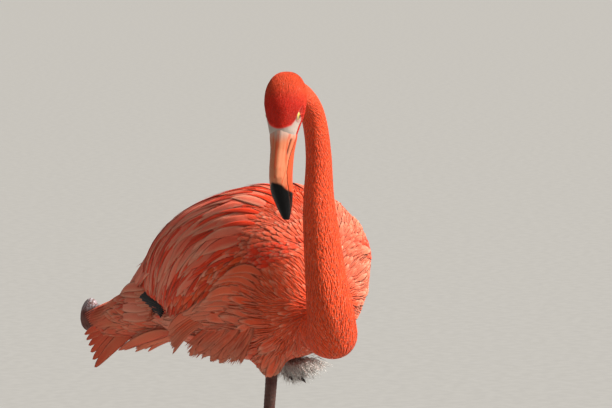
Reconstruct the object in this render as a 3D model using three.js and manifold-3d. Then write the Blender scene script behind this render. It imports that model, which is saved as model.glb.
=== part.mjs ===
// A life-size still model of an American flamingo that rests on its right leg. Its neck loops
// up beside the breast, its head is turned to its right with the bill hanging down, and its
// left leg is tucked up with the hock behind the tail.
//
// Millimetres, +Z up. The bird heads along -Y, so +X is its left. The origin lies on the sole
// of the standing foot. Shapes are first laid out from the middle of the trunk, as forward,
// left and up, and the whole bird is then moved so that the sole is at the origin.
import * as THREE from 'three';
import { mergeVertices } from 'three/addons/utils/BufferGeometryUtils.js';
import Module from 'manifold-3d';

const wasm = await Module();
wasm.setup();

// ---------------------------------------------------------------- driving dimensions

const GAP = 0.3; // left between pieces that meet
const FINEST = 0.2; // surface detail smaller than this is left out
const SOLE = { forward: -1, left: -3 }; // under the centre of mass, on the middle toe

const BACK_FORWARD = 152; // front end of the trunk
const BACK_REAR = -192; // rear end of the folded wings
const WIDEST = 0.56; // share of the trunk's height at which it is widest
const WING_THICKNESS = 15;
const WING_STAND_OUT = 3; // how far a folded wing stands proud of the flank

const FEATHER_END = 489; // height where the standing leg's feathers stop
const HOCK = { forward: 26, left: -9, up: 322 }; // standing hock
const ANKLE_HEIGHT = 15; // height where the toes meet the tarsus

const HEAD = { forward: 217, left: -111, up: 816.5 }; // middle of the skull
const HEAD_TURN = 53; // degrees to the right of the heading
const HEAD_DROOP = 68; // degrees of the bill's base below the horizon

const EYE_RADIUS = 6.6;

const COLOURS = {
  plumage: { color: 0xf0532f, roughness: 0.85 },
  black_feather: { color: 0x0c0c10, roughness: 0.5 },
  bill_pink: { color: 0xd98a6a, roughness: 0.45 },
  bill_black: { color: 0x050506, roughness: 0.35 },
  eye: { color: 0xd9c25a, roughness: 0.1 },
  leg_skin: { color: 0x8a5560, roughness: 0.6 },
  claw: { color: 0x1c1614, roughness: 0.4 },
};

// ---------------------------------------------------------------- small tools

const radians = THREE.MathUtils.degToRad;

/** A point or direction, from how far forward, to the bird's left, and up it lies. */
const at = (forward, left, up) => new THREE.Vector3(left, -forward, up);

/** A smooth function that runs through [where, value] pairs without overshooting them. */
function profile(...pairs) {
  const [x, y] = [pairs.map((p) => p[0]), pairs.map((p) => p[1])];
  const last = x.length - 1;
  const slope = x.slice(1).map((v, i) => (y[i + 1] - y[i]) / (v - x[i]));
  const tangent = x.map((_, i) => {
    if (i === 0 || i === last) return slope[Math.min(i, last - 1)];
    const [a, b] = [slope[i - 1], slope[i]];
    return a * b <= 0 ? 0 : (2 * a * b) / (a + b);
  });
  return (where) => {
    const v = THREE.MathUtils.clamp(where, x[0], x[last]);
    let i = x.findIndex((edge) => edge > v) - 1;
    if (i < 0) i = last - 1;
    const width = x[i + 1] - x[i];
    const t = (v - x[i]) / width;
    const [t2, t3] = [t * t, t * t * t];
    return (2 * t3 - 3 * t2 + 1) * y[i] + (t3 - 2 * t2 + t) * width * tangent[i]
      + (3 * t2 - 2 * t3) * y[i + 1] + (t3 - t2) * width * tangent[i + 1];
  };
}

/** count + 1 values from a to b, both included. */
const steps = (a, b, count) => Array.from({ length: count + 1 }, (_, i) => a + ((b - a) * i) / count);

/** A solid from a closed geometry. */
function solid(geometry) {
  const bare = geometry.clone();
  bare.deleteAttribute('normal');
  bare.deleteAttribute('uv');
  const merged = mergeVertices(bare, 1e-4);
  return new wasm.Manifold(new wasm.Mesh({
    numProp: 3,
    vertProperties: merged.attributes.position.array,
    triVerts: new Uint32Array(merged.index.array),
  }));
}

/** A geometry from a solid. */
function geometryOf(made) {
  const mesh = made.getMesh();
  return new THREE.BufferGeometry()
    .setAttribute('position', new THREE.BufferAttribute(mesh.vertProperties, 3))
    .setIndex(new THREE.BufferAttribute(mesh.triVerts, 1));
}

/** A solid skinned over rings of points, one ring after the other, with flat ends. */
function loft(rings) {
  const sides = rings[0].length;
  const points = rings.flat();
  const middle = (ring) => ring.reduce((sum, p) => sum.add(p), new THREE.Vector3()).divideScalar(sides);
  const first = points.push(middle(rings[0])) - 1;
  const end = points.push(middle(rings.at(-1))) - 1;
  const faces = [];
  for (let r = 0; r < rings.length - 1; r += 1) {
    for (let s = 0; s < sides; s += 1) {
      const [a, b] = [r * sides + s, r * sides + ((s + 1) % sides)];
      faces.push([a, b, b + sides], [a, b + sides, a + sides]);
    }
  }
  const lastRing = (rings.length - 1) * sides;
  for (let s = 0; s < sides; s += 1) {
    const next = (s + 1) % sides;
    faces.push([first, next, s], [end, lastRing + s, lastRing + next]);
  }
  const sixVolumes = faces.reduce((sum, [a, b, c]) => sum
    + points[a].dot(new THREE.Vector3().crossVectors(points[b], points[c])), 0);
  if (sixVolumes < 0) faces.forEach((face) => face.reverse());
  const geometry = new THREE.BufferGeometry().setFromPoints(points);
  geometry.setIndex(faces.flat());
  return solid(geometry);
}

/** An oval ring round a centre. power is 2 for an ellipse, and more for a squarer one. */
function oval(centre, across, upward, sides, power = 2) {
  return steps(0, 2 * Math.PI, sides).slice(0, -1).map((angle) => {
    const bent = (v) => Math.sign(v) * Math.abs(v) ** (2 / power);
    return centre.clone()
      .addScaledVector(across, bent(Math.cos(angle)))
      .addScaledVector(upward, bent(Math.sin(angle)));
  });
}

/**
 * A tube along a curve. radius is a function of the share of the way along, flatness squeezes
 * the section along the reference direction, and trim shortens each end.
 */
function tube(curve, radius, options) {
  const { from = 0, to = 1, count = 10, sides = 12, reference, flatness = 1, grow = 0, trim = 0 } = options;
  return loft(steps(from, to, count).map((share, ring) => {
    const along = curve.getTangentAt(share);
    const across = new THREE.Vector3().crossVectors(along, reference).normalize();
    const upward = new THREE.Vector3().crossVectors(across, along).normalize();
    const shift = (ring === 0 ? trim : 0) - (ring === count ? trim : 0);
    const r = radius(share);
    return oval(
      curve.getPointAt(share).addScaledVector(along, shift),
      across.multiplyScalar(r + grow),
      upward.multiplyScalar(r * flatness + grow),
      sides,
    );
  }));
}

/** An outline in the forward-up plane as a slab between two distances to the bird's left. */
function sideSlab(outline, fromLeft, toLeft) {
  const shape = new THREE.Shape(outline.map(([forward, up]) => new THREE.Vector2(-forward, up)));
  const slab = new THREE.ExtrudeGeometry(shape, { depth: toLeft - fromLeft, bevelEnabled: false });
  // The shape's x becomes Y, its y becomes Z and its depth becomes X.
  slab.applyMatrix4(new THREE.Matrix4().makeBasis(at(-1, 0, 0), at(0, 0, 1), at(0, 1, 0)));
  slab.translate(fromLeft, 0, 0);
  return solid(slab);
}

const ROUNDED = profile([0, 0.6], [0.3, 1], [0.7, 0.93], [0.88, 0.72], [1, 0.15]);
const POINTED = profile([0, 0.6], [0.35, 1], [0.65, 0.72], [1, 0.1]);

/** A feather along a curve, broad across one way and thin the other. */
function blade(curve, halfWidth, thickness, flatDirection, { outline = ROUNDED, count = 4 } = {}) {
  return loft(steps(0, 1, count).map((share) => {
    const along = curve.getTangentAt(share);
    const thin = flatDirection.clone().addScaledVector(along, -flatDirection.dot(along)).normalize();
    const broad = new THREE.Vector3().crossVectors(thin, along);
    return oval(
      curve.getPointAt(share),
      broad.multiplyScalar(halfWidth * outline(share)),
      thin.multiplyScalar(thickness / 2),
      6,
    );
  }));
}

/** A smooth curve through places given as [forward, left, up]. */
const curveThrough = (...places) => new THREE.CatmullRomCurve3(places.map((p) => at(...p)), false, 'centripetal');

const bird = new THREE.Group();

/** Adds one named piece of the bird, without the facets too fine to matter. */
function piece(name, made, look) {
  const plain = made.simplify(FINEST);
  const mesh = new THREE.Mesh(geometryOf(plain), new THREE.MeshStandardMaterial(COLOURS[look]));
  mesh.name = name;
  bird.add(mesh);
  return mesh;
}

const SIDES = [{ side: 'right', sign: -1 }, { side: 'left', sign: 1 }];

// ---------------------------------------------------------------- trunk and folded wings

// The plumage's outer shape, by how far forward each section stands.
const backHeight = profile(
  [BACK_REAR, 572], [-183, 593], [-168, 615], [-145, 643], [-110, 669], [-60, 692], [0, 708],
  [50, 715], [85, 709], [115, 693], [135, 666], [146, 631], [BACK_FORWARD, 598],
);
const bellyHeight = profile(
  [BACK_REAR, 556], [-182, 542], [-150, 525], [-100, 511], [-50, 504], [0, 502], [40, 503],
  [80, 510], [115, 526], [135, 546], [146, 563], [BACK_FORWARD, 577],
);
const halfWidth = profile(
  [BACK_REAR, 10], [-183, 28], [-168, 43], [-140, 62], [-100, 79], [-50, 92], [0, 98],
  [40, 97], [80, 93], [115, 84], [135, 69], [146, 47], [BACK_FORWARD, 18],
);

/** The plumage's shape, grown by so much at the sides, the top, the bottom and the ends. */
function bodyShape({ side = 0, top = 0, bottom = 0, ends = 0 } = {}) {
  const stations = [
    ...steps(BACK_REAR, -142, 4), ...steps(-112, 112, 7), ...steps(128, BACK_FORWARD, 3),
  ];
  return loft(stations.map((forward) => {
    const [high, low] = [backHeight(forward) + top, bellyHeight(forward) - bottom];
    const across = Math.max(4, halfWidth(forward) + side);
    const place = forward * (1 + ends / 170);
    const waist = THREE.MathUtils.lerp(low, high, WIDEST);
    return oval(at(place, 0, waist), at(0, across, 0), at(0, 0, 1), 22, 2.2).map((point) => (
      point.setZ(waist + (point.z - waist) * (point.z > waist ? high - waist : waist - low))));
  }));
}

// A folded wing seen from the side: from the wrist, over the back, round the draped rear
// feathers and forward along the lower edge, which the flank feathers cover.
const WING_OUTLINE = [
  [165, 645], [150, 700], [120, 745], [-120, 740], [-215, 690], [-215, 586], [-170, 582],
  [-130, 578], [-90, 570], [-62, 559], [-40, 553], [20, 571], [80, 595], [130, 626],
];
const WING_FROM_MIDDLE = 13; // the mantle shows between the wings along the back

const UNDER_WING = { side: -WING_THICKNESS, top: -7, bottom: 0, ends: -8 };
const bodyCore = bodyShape(UNDER_WING);
const coreGrown = bodyShape(grown(UNDER_WING));
const trunkGrown = bodyShape(grown({ side: 0, top: 0, bottom: 0, ends: 0 }));

/** The same growths with a gap added to each. */
function grown(growths) {
  return Object.fromEntries(Object.entries(growths).map(([key, value]) => [key, value + GAP]));
}

/** The biggest of a solid's separate bodies. */
const largest = (made) => made.decompose().sort((a, b) => b.volume() - a.volume())[0];

/** The wing outline as a slab on one side, drawn in all round by a small step. */
function wingSlab(sign, step) {
  const middle = [-40, 640];
  const outline = WING_OUTLINE.map(([forward, up]) => {
    const away = new THREE.Vector2(forward - middle[0], up - middle[1]);
    away.setLength(away.length() - 2 * step);
    return [middle[0] + away.x, middle[1] + away.y];
  });
  const [near, far] = [sign * (WING_FROM_MIDDLE + step), sign * 160];
  return sideSlab(outline, Math.min(near, far), Math.max(near, far));
}

// The long feathers at the rear of each wing: where each runs, and its half width.
const DRAPED = [
  { path: [[-112, 32, 650], [-180, 29, 604], [-243, 14, 563]], width: 9 },
  { path: [[-100, 60, 630], [-166, 47, 586], [-216, 29, 558]], width: 10 },
  { path: [[-78, 77, 612], [-136, 66, 591], [-188, 44, 566]], width: 9 },
];

/** The long feathers on one side. */
const draped = (sign, grow = 0) => DRAPED.map(({ path, width }) => blade(
  curveThrough(...path.map(([forward, left, up]) => [forward, sign * left, up])),
  width + grow,
  5 + 2 * grow,
  at(0.1, sign, 0.5),
  { outline: POINTED },
));

/** One folded wing with its long feathers, and the space it fills with a gap round it. */
function foldedWing(sign) {
  const shell = bodyShape({ side: WING_STAND_OUT, top: 0.5, ends: 1 }).intersect(wingSlab(sign, GAP));
  const hidden = trunkGrown;
  return draped(sign).reduce((wing, feather) => wing.add(feather.subtract(hidden)), shell.subtract(coreGrown));
}

function wingSpace(sign) {
  const shell = bodyShape({ side: WING_STAND_OUT + GAP, top: 0.5 + GAP, ends: 1.5 })
    .intersect(wingSlab(sign, 0));
  return draped(sign, GAP).reduce((space, feather) => space.add(feather), shell);
}

let trunk = bodyShape();
for (const { side, sign } of SIDES) {
  trunk = trunk.subtract(wingSlab(sign, 0).subtract(bodyCore));
  piece(`wing_${side}`, largest(foldedWing(sign)), 'plumage');
}
piece('trunk', largest(trunk), 'plumage');
const wingSpaces = wingSpace(-1).add(wingSpace(1));

// ---------------------------------------------------------------- neck

// The neck leaves the breast low down, dips, and rises beside the breast to the head.
const dipPath = curveThrough([92, 10, 600], [130, 3, 571], [163, -11, 549]);
const dipRadius = profile([0, 46], [0.5, 37], [1, 31.5]);
const risingPath = curveThrough(
  [177, -17, 549], [188, -28, 572], [189, -34, 604], [184, -36, 646], [180, -39, 702], [179, -38, 748],
  [178, -41, 780], [182, -51, 805], [191, -69, 820], [204, -90, 827], [213, -104, 823],
);
const risingRadius = profile(
  [0, 29.5], [0.1, 28], [0.22, 24.5], [0.38, 21.5], [0.5, 18.4], [0.62, 16], [0.78, 15], [0.9, 14.5], [1, 15.5],
);
const NECK_LENGTHS = [
  { name: 'neck_lower', from: 0, to: 0.33, count: 7 },
  { name: 'neck_upper', from: 0.33, to: 0.68, count: 6 },
  { name: 'neck_crook', from: 0.68, to: 1, count: 9 },
];
const NECK_REFERENCE = at(0.3, 1, 0); // never along the neck

// ---------------------------------------------------------------- head

const turn = radians(HEAD_TURN);
const droop = radians(HEAD_DROOP);
const facing = at(Math.cos(turn), -Math.sin(turn), 0);
const headForward = facing.clone().multiplyScalar(Math.cos(droop)).add(at(0, 0, -Math.sin(droop)));
const headCrown = facing.clone().multiplyScalar(Math.sin(droop)).add(at(0, 0, Math.cos(droop)));
const headLeft = new THREE.Vector3().crossVectors(headCrown, headForward);
const headFrame = new THREE.Matrix4().makeBasis(headForward, headLeft, headCrown)
  .setPosition(at(HEAD.forward, HEAD.left, HEAD.up));

/** A point of the head, from how far it lies towards the bill, to the left, and to the crown. */
const headAt = (ahead, left, crown) => new THREE.Vector3(ahead, left, crown).applyMatrix4(headFrame);

const HEAD_BACK = -35;
const HEAD_FRONT = 37;
const crownLine = profile([-35, 4], [-32, 13], [-24, 20.5], [-10, 25.5], [6, 25], [20, 20.5], [30, 15.5], [37, 13]);
const throatLine = profile([-35, -4], [-31, -12], [-20, -18], [0, -22], [18, -22.5], [30, -20.5], [37, -18.5]);
const cheekLine = profile([-35, 5], [-31, 13], [-22, 20], [-6, 24], [8, 23.3], [20, 20], [30, 16.8], [37, 15.5]);

function headShape(grow = 0) {
  return loft([...steps(HEAD_BACK, -24, 3), ...steps(-17, HEAD_FRONT, 7)].map((ahead) => {
    const [top, bottom] = [crownLine(ahead) + grow, throatLine(ahead) - grow];
    return oval(
      headAt(ahead, 0, (top + bottom) / 2),
      headLeft.clone().multiplyScalar(cheekLine(ahead) + grow),
      headCrown.clone().multiplyScalar((top - bottom) / 2),
      16,
      2.15,
    );
  }));
}

// The bill: two outlines from base to tip, one along its top and one along its underside.
const culmen = curveOnHead([37.3, 13], [55, 11], [72, 11], [87, 9.5], [97, 3], [107, -11], [117.5, -28], [125, -45]);
const gonys = curveOnHead([37.3, -18.5], [50, -21], [64, -24.5], [76, -28.5], [86, -33], [97, -38], [109, -43], [121.5, -47]);
const billHalfWidth = profile([0, 15.3], [0.18, 12.6], [0.45, 11.8], [0.62, 11.5], [0.8, 9.2], [0.92, 5.6], [1, 1.8]);
const MOUTH = [[30, -6], [50, -4.5], [66, -1.5], [80, -1.5], [90, -7], [99.5, -18], [110, -33], [119, -48]];

/** A curve in the head's middle plane, as [towards the bill, to the crown]. */
function curveOnHead(...places) {
  return new THREE.CatmullRomCurve3(places.map(([ahead, crown]) => headAt(ahead, 0, crown)), false, 'centripetal');
}

const billWhole = loft([...steps(0, 0.9, 10), 0.96, 1].map((share) => {
  const [top, bottom] = [culmen.getPointAt(share), gonys.getPointAt(share)];
  const half = top.clone().sub(bottom).multiplyScalar(0.5);
  const middle = top.clone().add(bottom).multiplyScalar(0.5);
  const width = billHalfWidth(share);
  // The upper half of each section is narrower, like a lid on a tub.
  return steps(0, 2 * Math.PI, 14).slice(0, -1).map((angle) => middle.clone()
    .addScaledVector(headLeft, width * Math.cos(angle) * (1 - 0.2 * Math.sin(angle)))
    .addScaledVector(half, Math.sin(angle)));
}));

/** All of the head's space on one side of the mouth line, shifted towards the crown. */
function besideMouth(shift, farCrown) {
  const line = MOUTH.map(([ahead, crown]) => new THREE.Vector2(ahead, crown + shift));
  const shape = new THREE.Shape([...line, new THREE.Vector2(150, farCrown), new THREE.Vector2(30, farCrown)]);
  const slab = new THREE.ExtrudeGeometry(shape, { depth: 60, bevelEnabled: false }).translate(0, 0, -30);
  // The shape's x runs along the bill and its y to the crown, so its depth runs to the right.
  slab.applyMatrix4(new THREE.Matrix4().makeBasis(
    new THREE.Vector3(1, 0, 0),
    new THREE.Vector3(0, 0, 1),
    new THREE.Vector3(0, -1, 0),
  ));
  return solid(slab.applyMatrix4(headFrame));
}

piece('bill_upper', largest(billWhole.intersect(besideMouth(GAP / 2, 80))), 'bill_pink');
piece('bill_lower', largest(billWhole.subtract(besideMouth(-GAP / 2, 80))), 'bill_pink');

const EYE = { ahead: 17, aside: 14.8, crown: 4.5 };
const eyeBall = (sign, grow = 0) => solid(
  new THREE.IcosahedronGeometry(EYE_RADIUS + grow, 2)
    .applyMatrix4(new THREE.Matrix4().setPosition(headAt(EYE.ahead, sign * EYE.aside, EYE.crown))),
);
let head = headShape();
for (const { side, sign } of SIDES) {
  head = head.subtract(eyeBall(sign, GAP));
  piece(`eye_${side}`, eyeBall(sign), 'eye');
}
piece('head', largest(head), 'plumage');

// ---------------------------------------------------------------- neck pieces

const headGrown = headShape(GAP);
const ball = (place, radius) => solid(new THREE.SphereGeometry(radius, 14, 8).translate(place.x, place.y, place.z));
const dip = (grow) => tube(dipPath, dipRadius, { count: 4, sides: 14, reference: NECK_REFERENCE, grow })
  .add(ball(dipPath.getPointAt(1), dipRadius(1) + grow));
piece('neck_base', largest(dip(0).subtract(trunkGrown)), 'plumage');
for (const { name, from, to, count } of NECK_LENGTHS) {
  const trim = GAP / 2;
  let length = tube(risingPath, risingRadius, { from, to, count, sides: 13, reference: NECK_REFERENCE, trim });
  if (from === 0) length = length.add(ball(risingPath.getPointAt(0), risingRadius(0)));
  piece(name, largest(length.subtract(trunkGrown).subtract(dip(GAP)).subtract(headGrown)), 'plumage');
}

// ---------------------------------------------------------------- wing tips

// The black wing tips: a narrow bundle from under each wing's rear, over the tail.
const wingTip = (sign, grow = 0) => blade(
  curveThrough([-48, sign * 84, 550], [-108, sign * 74, 563], [-190, sign * 46, 567], [-288, sign * 12, 564]),
  12 + grow,
  7 + 2 * grow,
  at(0.1, sign, 0.35),
  { outline: POINTED, count: 7 },
);
for (const { side, sign } of SIDES) {
  piece(`wing_tip_${side}`, largest(wingTip(sign).subtract(trunkGrown).subtract(wingSpaces)), 'black_feather');
}

// ---------------------------------------------------------------- legs

/** A rounded knob at a joint, longer one way. */
function knob(place, along, radius, halfLength, grow = 0) {
  const ball = new THREE.SphereGeometry(1, 12, 8).scale(radius + grow, halfLength + grow, radius + grow);
  ball.applyQuaternion(new THREE.Quaternion().setFromUnitVectors(new THREE.Vector3(0, 1, 0), along.clone().normalize()));
  return solid(ball.translate(place.x, place.y, place.z));
}

/** A straight or bent limb through places, round or flattened from side to side. */
const limb = (path, radius, options) => tube(curveThrough(...path), radius, { reference: at(0, 1, 0), ...options });

const TOE_KNUCKLES = profile(
  [0, 5.2], [0.16, 4.1], [0.3, 4.6], [0.43, 3.6], [0.56, 4.1], [0.7, 3.2], [0.82, 3.6], [1, 2.6],
);
const TOES = [
  { name: 'middle', length: 84, aside: 0 },
  { name: 'outer', length: 74, aside: 1 },
  { name: 'inner', length: 67, aside: -1 },
];

/** One front toe of the right foot in the foot's own frame, and the direction it ends in. */
function frontToe({ length, aside }, { spread, curl }) {
  const turnOut = radians(-aside * spread);
  const place = (ahead, up) => new THREE.Vector3(ahead * Math.cos(turnOut), ahead * Math.sin(turnOut), up);
  const path = new THREE.CatmullRomCurve3([
    place(-1, ANKLE_HEIGHT),
    place(length * 0.13, ANKLE_HEIGHT * 0.58),
    place(length * 0.26, 3.6),
    place(length * 0.65, 3 - curl * 0.3),
    place(length, 2.2 - curl),
  ], false, 'centripetal');
  return {
    made: tube(path, TOE_KNUCKLES, { count: 10, sides: 7, reference: new THREE.Vector3(0, 0, 1), flatness: 0.95 }),
    tip: path.getPointAt(1),
    heading: path.getTangentAt(1),
  };
}

/** The small hind toe, which reaches down to the floor behind the ankle. */
function hindToe() {
  const path = new THREE.CatmullRomCurve3([
    new THREE.Vector3(0, 0, 14), new THREE.Vector3(-8, 1, 9), new THREE.Vector3(-15, 2, 3.6),
    new THREE.Vector3(-21, 2.5, 2.1),
  ], false, 'centripetal');
  const radius = profile([0, 4.4], [0.5, 3.6], [1, 2.4]);
  return {
    made: tube(path, radius, { count: 5, sides: 8, reference: new THREE.Vector3(0, 1, 0) }),
    tip: path.getPointAt(1),
    heading: path.getTangentAt(1),
  };
}

/** The skin between the front toes, with hollow front edges. */
function web({ spread }) {
  const reach = (length, aside) => {
    const angle = radians(-aside * spread);
    return new THREE.Vector2(length * Math.cos(angle), length * Math.sin(angle));
  };
  const shape = new THREE.Shape();
  shape.moveTo(4, 4);
  shape.lineTo(...reach(60, -1));
  const [inner, middle, outer] = [reach(47, -0.5), reach(75, 0), reach(50, 0.5)];
  shape.quadraticCurveTo(inner.x, inner.y, middle.x, middle.y);
  const end = reach(66, 1);
  shape.quadraticCurveTo(outer.x, outer.y, end.x, end.y);
  shape.lineTo(4, -4);
  return solid(new THREE.ExtrudeGeometry(shape, { depth: 1.7, bevelEnabled: false, curveSegments: 4 }).translate(0, 0, 0.5));
}

/** A curved claw that starts just past the end of a toe. */
function claw({ tip, heading }, length) {
  const start = tip.clone().addScaledVector(heading, GAP);
  const end = start.clone().addScaledVector(heading, length).add(new THREE.Vector3(0, 0, -0.9));
  const bend = start.clone().addScaledVector(heading, length * 0.5).add(new THREE.Vector3(0, 0, 0.3));
  const path = new THREE.CatmullRomCurve3([start, bend, end], false, 'centripetal');
  return tube(path, profile([0, 2], [0.6, 1.6], [1, 0.5]), { count: 4, sides: 6, reference: new THREE.Vector3(0, 0, 1) });
}

/** A whole foot and its claws, set by a frame whose x is ahead, y left and z up. */
function foot(name, frame, pose) {
  const toes = TOES.map((toe) => ({ ...toe, ...frontToe(toe, pose) }));
  if (pose.hind) toes.push({ name: 'hind', ...hindToe() });
  let made = toes.reduce((all, toe) => all.add(toe.made), solid(
    new THREE.SphereGeometry(6.6, 12, 8).translate(0, 0, ANKLE_HEIGHT - 1.5),
  )).add(web(pose));
  if (pose.flat) made = made.trimByPlane([0, 0, 1], 0);
  const placed = (one) => solid(geometryOf(one).applyMatrix4(frame));
  toes.forEach((toe) => {
    const sharp = claw(toe, toe.name === 'hind' ? 5 : 8);
    piece(`claw_${toe.name}_${name}`, placed(pose.flat ? sharp.trimByPlane([0, 0, 1], 0.2) : sharp), 'claw');
  });
  return placed(largest(made));
}

const tarsusRadius = profile([0, 6.4], [0.12, 5.5], [0.5, 5.1], [0.9, 5.4], [1, 6]);

// The standing leg, on the bird's right.
const ANKLE = { forward: SOLE.forward - 25, left: SOLE.left };
const ankle = [ANKLE.forward, ANKLE.left, ANKLE_HEIGHT];
const hock = [HOCK.forward, HOCK.left, HOCK.up];
const thighEnd = [54, -14, FEATHER_END];
const standingThigh = limb(
  [[64, -34, 566], [58, -20, 518], thighEnd],
  profile([0, 30], [0.6, 27], [0.8, 19], [0.9, 13.5], [1, 11]),
  { count: 7, sides: 14 },
);
const standingLine = at(...thighEnd).sub(at(...ankle)).normalize();
const standingHock = (grow) => knob(at(...hock), standingLine, 10.8, 18, grow);
const shankRadius = profile([0, 7.2], [0.5, 6.3], [0.85, 6.6], [1, 8]);
const standingShank = (grow) => limb([[55.5, -14.5, 497], hock], shankRadius, { count: 4, sides: 9, grow, trim: -grow });
const standingTarsus = limb([hock, ankle], tarsusRadius, { count: 5, sides: 9, flatness: 0.88 });
const standingFrame = new THREE.Matrix4().makeBasis(at(1, 0, 0), at(0, 1, 0), at(0, 0, 1))
  .setPosition(at(ANKLE.forward, ANKLE.left, 0));
const ankleSpace = knob(at(...ankle).add(at(0, 0, -1.5)), at(0, 0, 1), 6.6, 6.6, GAP);
piece('thigh_right', largest(standingThigh.subtract(trunkGrown).subtract(standingShank(GAP))), 'plumage');
piece('shank_right', largest(standingShank(0).subtract(standingHock(GAP))), 'leg_skin');
piece('hock_right', standingHock(0), 'leg_skin');
piece('tarsus_right', largest(standingTarsus.subtract(standingHock(GAP)).subtract(ankleSpace)), 'leg_skin');
const standingPose = { spread: 36, curl: 0, flat: true, hind: true };
piece('foot_right', foot('right', standingFrame, standingPose).subtract(standingTarsus), 'leg_skin');

// The tucked leg, on the bird's left.
const tuckedHock = [-358, 5, 526];
const tuckedAnkle = [-30, 34, 520]; // hidden in the belly's feathers
const flatUp = { sides: 14, reference: at(0, 0, 1) };
const tuckedThigh = (grow) => limb(
  [[20, 58, 552], [-90, 52, 538], [-186, 44, 541]],
  profile([0, 46], [0.5, 33], [0.85, 17], [1, 11]),
  { ...flatUp, count: 7, grow, trim: -grow },
);
const tuckedShank = (grow) => limb(
  [[-172, 45, 540.5], [-358, 5, 531]],
  shankRadius,
  { count: 4, sides: 9, reference: at(0, 0, 1), grow, trim: -grow },
);
const tuckedKnob = (grow) => knob(at(...tuckedHock), at(0.25, 0, 1), 11.2, 21, grow);
const tuckedTarsus = (grow) => limb(
  [[-356, 6, 512], [-180, 24, 520], tuckedAnkle],
  tarsusRadius,
  { count: 5, sides: 9, flatness: 0.88, grow, trim: -grow },
);
const tuckedAhead = at(1, 0, -0.27).normalize();
const tuckedUp = new THREE.Vector3().crossVectors(tuckedAhead, at(0, 1, 0)).normalize();
const tuckedFrame = new THREE.Matrix4().makeBasis(tuckedAhead, at(0, 1, 0), tuckedUp)
  .setPosition(at(...tuckedAnkle).addScaledVector(tuckedUp, -ANKLE_HEIGHT));

const legSpace = [tuckedShank(GAP), tuckedTarsus(GAP), tuckedKnob(GAP)].reduce((all, one) => all.add(one));
const tips = wingTip(1, GAP).add(wingTip(-1, GAP));
piece('thigh_left', largest([trunkGrown, wingSpaces, tips, legSpace]
  .reduce((made, space) => made.subtract(space), tuckedThigh(0))), 'plumage');
piece('hock_left', tuckedKnob(0), 'leg_skin');
piece('shank_left', largest(tuckedShank(0).subtract(tuckedKnob(GAP)).subtract(trunkGrown)), 'leg_skin');
const tuckedAnkleSpace = knob(at(...tuckedAnkle).addScaledVector(tuckedUp, -1.5), at(0, 0, 1), 6.6, 6.6, GAP);
piece('tarsus_left', largest([tuckedKnob(GAP), tuckedAnkleSpace, trunkGrown]
  .reduce((made, space) => made.subtract(space), tuckedTarsus(0))), 'leg_skin');
const tuckedPose = { spread: 8, curl: 3, flat: false, hind: false };
piece('foot_left', largest([tuckedTarsus(GAP), tuckedThigh(GAP), trunkGrown]
  .reduce((made, space) => made.subtract(space), foot('left', tuckedFrame, tuckedPose))), 'leg_skin');

// ---------------------------------------------------------------- tail

// The soft cone of feathers round the tail's root, which the tucked leg holds to the right.
const coneTop = profile([0, 580], [0.45, 581], [0.75, 567], [1, 546]);
const coneBottom = profile([0, 520], [0.35, 508], [0.7, 502], [1, 503]);
const coneWidth = profile([0, 46], [0.4, 42], [0.7, 32], [1, 14]);
const tailCone = loft(steps(0, 1, 6).map((share) => {
  const [top, bottom] = [coneTop(share), coneBottom(share)];
  return oval(
    at(-130 - 165 * share, -4 - 12 * share, (top + bottom) / 2),
    at(0, coneWidth(share), 0),
    at(0, 0, (top - bottom) / 2),
    16,
  );
}));

const TAIL_FEATHERS = 10;
/** One tail feather, by its place across the tail: from -1 at the right edge to 1 at the left. */
function tailFeather(across) {
  const [right, left] = [Math.max(0, -across), Math.max(0, across)];
  const root = [-185, -4 + 14 * across, 547 - 8 * right];
  const tip = [-337 + 52 * right + 45 * left, -18 + 18 * across, 507 - 37 * right ** 1.3 + 3 * left];
  const bend = root.map((value, axis) => (value + tip[axis]) / 2 + (axis === 2 ? 7 : 0));
  return blade(curveThrough(root, bend, tip), 9.5, 1.8, at(0.35, 1.1 * across, 1));
}
const tail = steps(-1, 1, TAIL_FEATHERS - 1).reduce((all, across) => all.add(tailFeather(across)), tailCone);
const thighSpace = tuckedThigh(GAP);
piece('tail', largest([trunkGrown, wingSpaces, tips, legSpace, thighSpace]
  .reduce((made, space) => made.subtract(space), tail)), 'plumage');

// ---------------------------------------------------------------- placing

bird.position.copy(at(-SOLE.forward, -SOLE.left, 0));

export default bird;
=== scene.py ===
"""The looks of the life-size flamingo: one skin under a coat of solid feathers, with its bill,
eyes, legs and claws. Metres, in the frame of the CAD part. The bird heads along -Y, so +X is its
left. Body places are in millimetres forward, left and up, as in the part's source."""

import math
from itertools import product

import bmesh
import bpy
import numpy as np
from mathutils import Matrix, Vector
from mathutils.bvhtree import BVHTree


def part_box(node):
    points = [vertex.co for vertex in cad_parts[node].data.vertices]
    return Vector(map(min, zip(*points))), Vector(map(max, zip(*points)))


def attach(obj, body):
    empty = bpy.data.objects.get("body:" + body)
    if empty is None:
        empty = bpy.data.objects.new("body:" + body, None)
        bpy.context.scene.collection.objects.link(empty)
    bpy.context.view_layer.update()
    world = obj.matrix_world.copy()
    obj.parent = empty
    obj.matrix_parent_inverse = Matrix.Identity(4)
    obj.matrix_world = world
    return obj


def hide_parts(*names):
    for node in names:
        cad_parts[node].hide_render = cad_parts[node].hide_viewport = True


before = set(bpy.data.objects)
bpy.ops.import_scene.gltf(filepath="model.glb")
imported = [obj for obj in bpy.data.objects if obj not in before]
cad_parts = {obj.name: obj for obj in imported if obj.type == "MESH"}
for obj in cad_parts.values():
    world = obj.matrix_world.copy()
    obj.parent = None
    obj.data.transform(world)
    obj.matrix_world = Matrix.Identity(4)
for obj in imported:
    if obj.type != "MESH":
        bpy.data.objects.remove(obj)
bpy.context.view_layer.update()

# ---- driving values

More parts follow.
